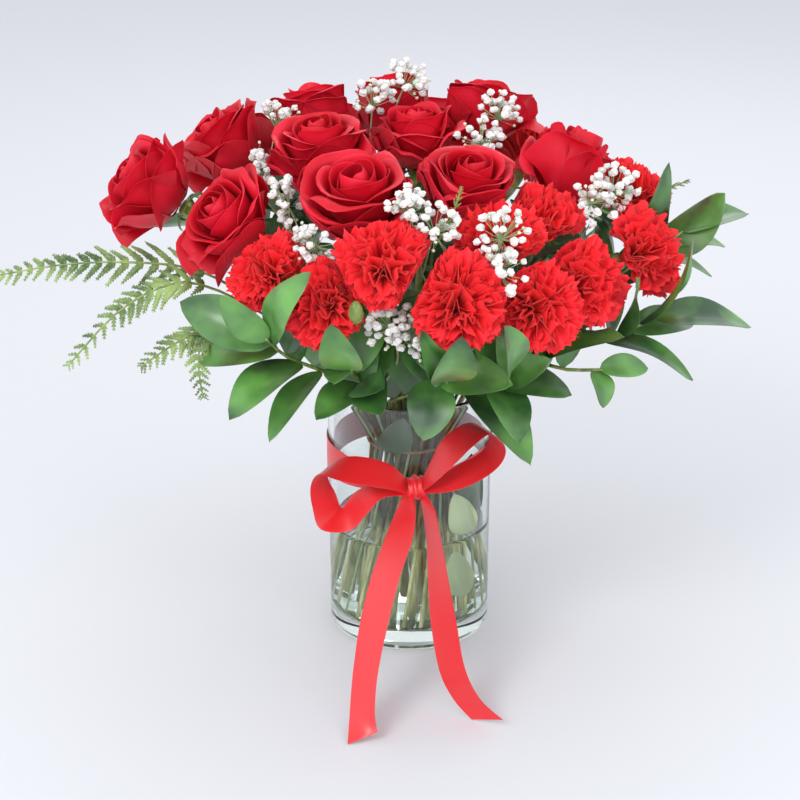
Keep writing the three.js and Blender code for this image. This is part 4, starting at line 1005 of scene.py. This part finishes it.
def leaflet(bm, foot, way, across_way, up, size, slim):
    """One small leaflet: a pointed oval, a little raised in the middle"""
    def lay(across, along):
        half = size * slim * math.sin(math.pi * (0.12 + 0.86 * along)) * across
        return foot + way * size * along + across_way * half + up * 0.08 * size * math.sin(math.pi * along)

    grown_grid(bm, 2, 3, lay)


# Fern leaflet: matte yellow-green with uneven tone and pale specks
fern_finish, tree, shader = new_material("matte_fern_leaflet", Roughness=0.55, Sheen_Weight=0.1)
place = add(tree, "TexCoord").outputs["Object"]
cloud = add(tree, "TexNoise", {"Vector": place, "Scale": 35, "Detail": 3})
spots = add(tree, "TexNoise", {"Vector": place, "Scale": 420, "Detail": 2})
green = layered(tree, "#35521F", (cloud, 0.35, 0.68, 1, "#93AE62"), (spots, 0.5, 0.75, 0.4, "#B3C692"))
surfaced(tree, shader, green, spots, 0.3, 0.0003)

for order, plant in of_kind(FOLIAGE, "fern"):
    draw = random.Random(FERN_SEED + order)
    leaf_from, reach, pairs, *branches = plant["bears"]
    bm = bmesh.new()
    foliage_stem(bm, plant, FERN_STEM, FERN_TAPER, STEM)
    fern_frond(bm, plant["outside"], leaf_from, reach, pairs, draw)
    for branch in branches:
        branch = [Vector(point) for point in branch]
        rod(bm, [on_curve(branch, k / 6) for k in range(7)], [BRANCH_RADIUS] * 7, 5)
        fern_frond(bm, branch, *BRANCH_BEARS, draw)
    set_down(bm, plant["name"] + "_frond", [fern_finish, stem_finish], plant["name"],
             thickness=FERN_THICKNESS)

# Baby's breath: clouds of tiny white double florets and closed buds on hair-thin stalks that
# fork again and again from one wiry stem.
SPRAY_SEED = 500
SPRAY_STEM = 1.0
SPRAY_TAPER = 0.2
FLORETS = 34
FLORET_SHARE = 0.8
CLOUD_RADIUS = 20
FLORET_RADIUS = 3.3
BUD_RADIUS = 1.3
FORK_RADII = [0.7, 0.6, 0.5]
STALK_RADII = [0.35, 0.3, 0.25]
STALK, FLORET, BUD = 0, 1, 2


def floret(bm, centre, radius, draw, index):
    """A crumpled ball of small petals"""
    corners = bmesh.ops.create_icosphere(bm, subdivisions=2, radius=1)["verts"]
    squash = draw.uniform(0.8, 1)
    for corner in corners:
        crumpled = Vector((corner.co.x, corner.co.y, corner.co.z * squash)) * draw.uniform(0.74, 1.14)
        corner.co = centre + crumpled * radius
    paint(corners, index)


def spray_cluster(bm, fork, centre, draw):
    """One cloud of florets and buds, each on its own stalk from the cloud's middle"""
    away = (centre - fork).normalized()
    rod(bm, [fork, fork.lerp(centre, 0.5) + UPWARD, centre], FORK_RADII, 5)
    for _ in range(FLORETS):
        spread = Vector([draw.gauss(0, 1) for _ in range(3)]).normalized()
        spread = (spread + away * 0.45).normalized() * CLOUD_RADIUS * draw.uniform(0.35, 1) ** 0.6
        spot = beside_blooms(centre + spread, 1)
        knee = centre.lerp(spot, 0.45) - away * 1.5
        rod(bm, [centre - away * 2, knee, spot], STALK_RADII, 3)
        if draw.random() < FLORET_SHARE:
            floret(bm, spot, FLORET_RADIUS * draw.uniform(0.75, 1.05), draw, FLORET)
        else:
            floret(bm, spot, BUD_RADIUS, draw, BUD)


# Wiry stalk: thin, pale grey-green. Closed bud: cream, flecked with green
stalk_finish, *_ = mottled("wiry_green_stalk", 0.5, "#6F8A55", "#A9BA8E", 120, 1)
bud_finish, *_ = mottled("closed_green_bud", 0.6, "#A7B98A", "#F2F1E4", 500, 1)

# Floret: papery white petals, faintly green and darker in their folds, partly their own tint and partly
# painted shade
floret_finish, tree, shader = new_material(
    "papery_white_floret", Roughness=0.75, Sheen_Weight=0.2, Subsurface_Weight=0.15,
    Subsurface_Scale=0.002)
place = add(tree, "TexCoord").outputs["Object"]
folds = add(tree, "TexNoise", {"Vector": place, "Scale": 700, "Detail": 3})
# Darker grey-green in the relief's hollows is partly painted shade
white = layered(tree, "#CDCFC4", (folds, 0.3, 0.5, 1, "#E0DEDC"))
surfaced(tree, shader, white, folds, 0.9, 0.0012)

for order, plant in of_kind(FOLIAGE, "babys"):
    draw = random.Random(SPRAY_SEED + order)
    bm = bmesh.new()
    foliage_stem(bm, plant, SPRAY_STEM, SPRAY_TAPER, STALK)
    for cluster in plant["bears"]:
        spray_cluster(bm, plant["outside"][-1], Vector(cluster), draw)
    set_down(bm, plant["name"] + "_spray", [stalk_finish, floret_finish, bud_finish], plant["name"],
             smooth=False)

# Floor, light and camera: a plain pale floor, and soft studio light from above, the front and
# both sides. The camera has the photograph's lens, place and pitch.
FLOOR_SIZE = 14
WORLD_STRENGTH = 1.12
LENS = 79.83
CAMERA_AT = (-0.0073, -1.2531, 0.6948)
PITCHED_DOWN = 22.2
# Each lamp's name, place, aim, size in metres and power in watts
SOFTBOXES = [
    ("key", (-1.1, -1.5, 1.6), (0, 0, 0.25), 1.0, 22),
    ("front", (0.1, -1.8, 0.5), (0, 0, 0.25), 1.2, 6.5),
    ("fill", (1.5, -1.4, 1.0), (0, 0, 0.2), 1.2, 9),
    ("back", (0.4, 1.6, 1.7), (0, 0, 0.3), 1.2, 9),
]
bm = bmesh.new()
bmesh.ops.create_grid(bm, x_segments=1, y_segments=1, size=FLOOR_SIZE / 2)
floor_mesh = bpy.data.meshes.new("floor")
bm.to_mesh(floor_mesh)
bm.free()
floor = in_scene("floor", floor_mesh)
# Emulsion paint: pale grey and matte
floor_finish, *_ = new_material(
    "pale_painted_floor", Base_Color="#CFD0D3", Roughness=0.7, Specular_IOR_Level=0.2)
floor_mesh.materials.append(floor_finish)

world = bpy.data.worlds.new("soft_studio")
bpy.context.scene.world = world
world.use_nodes = True
fill(world.node_tree, world.node_tree.nodes["Background"], {
    "Color": "#F7F9FF", "Strength": WORLD_STRENGTH})

for name, at, aim, size, power in SOFTBOXES:
    lamp = bpy.data.lights.new(name, "AREA")
    lamp.shape = "DISK"
    lamp.size = size
    lamp.energy = power
    holder = in_scene(name, lamp)
    holder.location = at
    holder.rotation_euler = (Vector(aim) - Vector(at)).to_track_quat("-Z", "Y").to_euler()

camera_data = bpy.data.cameras.new("camera")
camera_data.sensor_width = 36
camera_data.lens = LENS
camera = in_scene("camera", camera_data)
camera.location = CAMERA_AT
camera.rotation_euler = (math.radians(90 - PITCHED_DOWN), 0, 0)
bpy.context.scene.camera = camera
bpy.context.scene.view_settings.view_transform = "Standard"
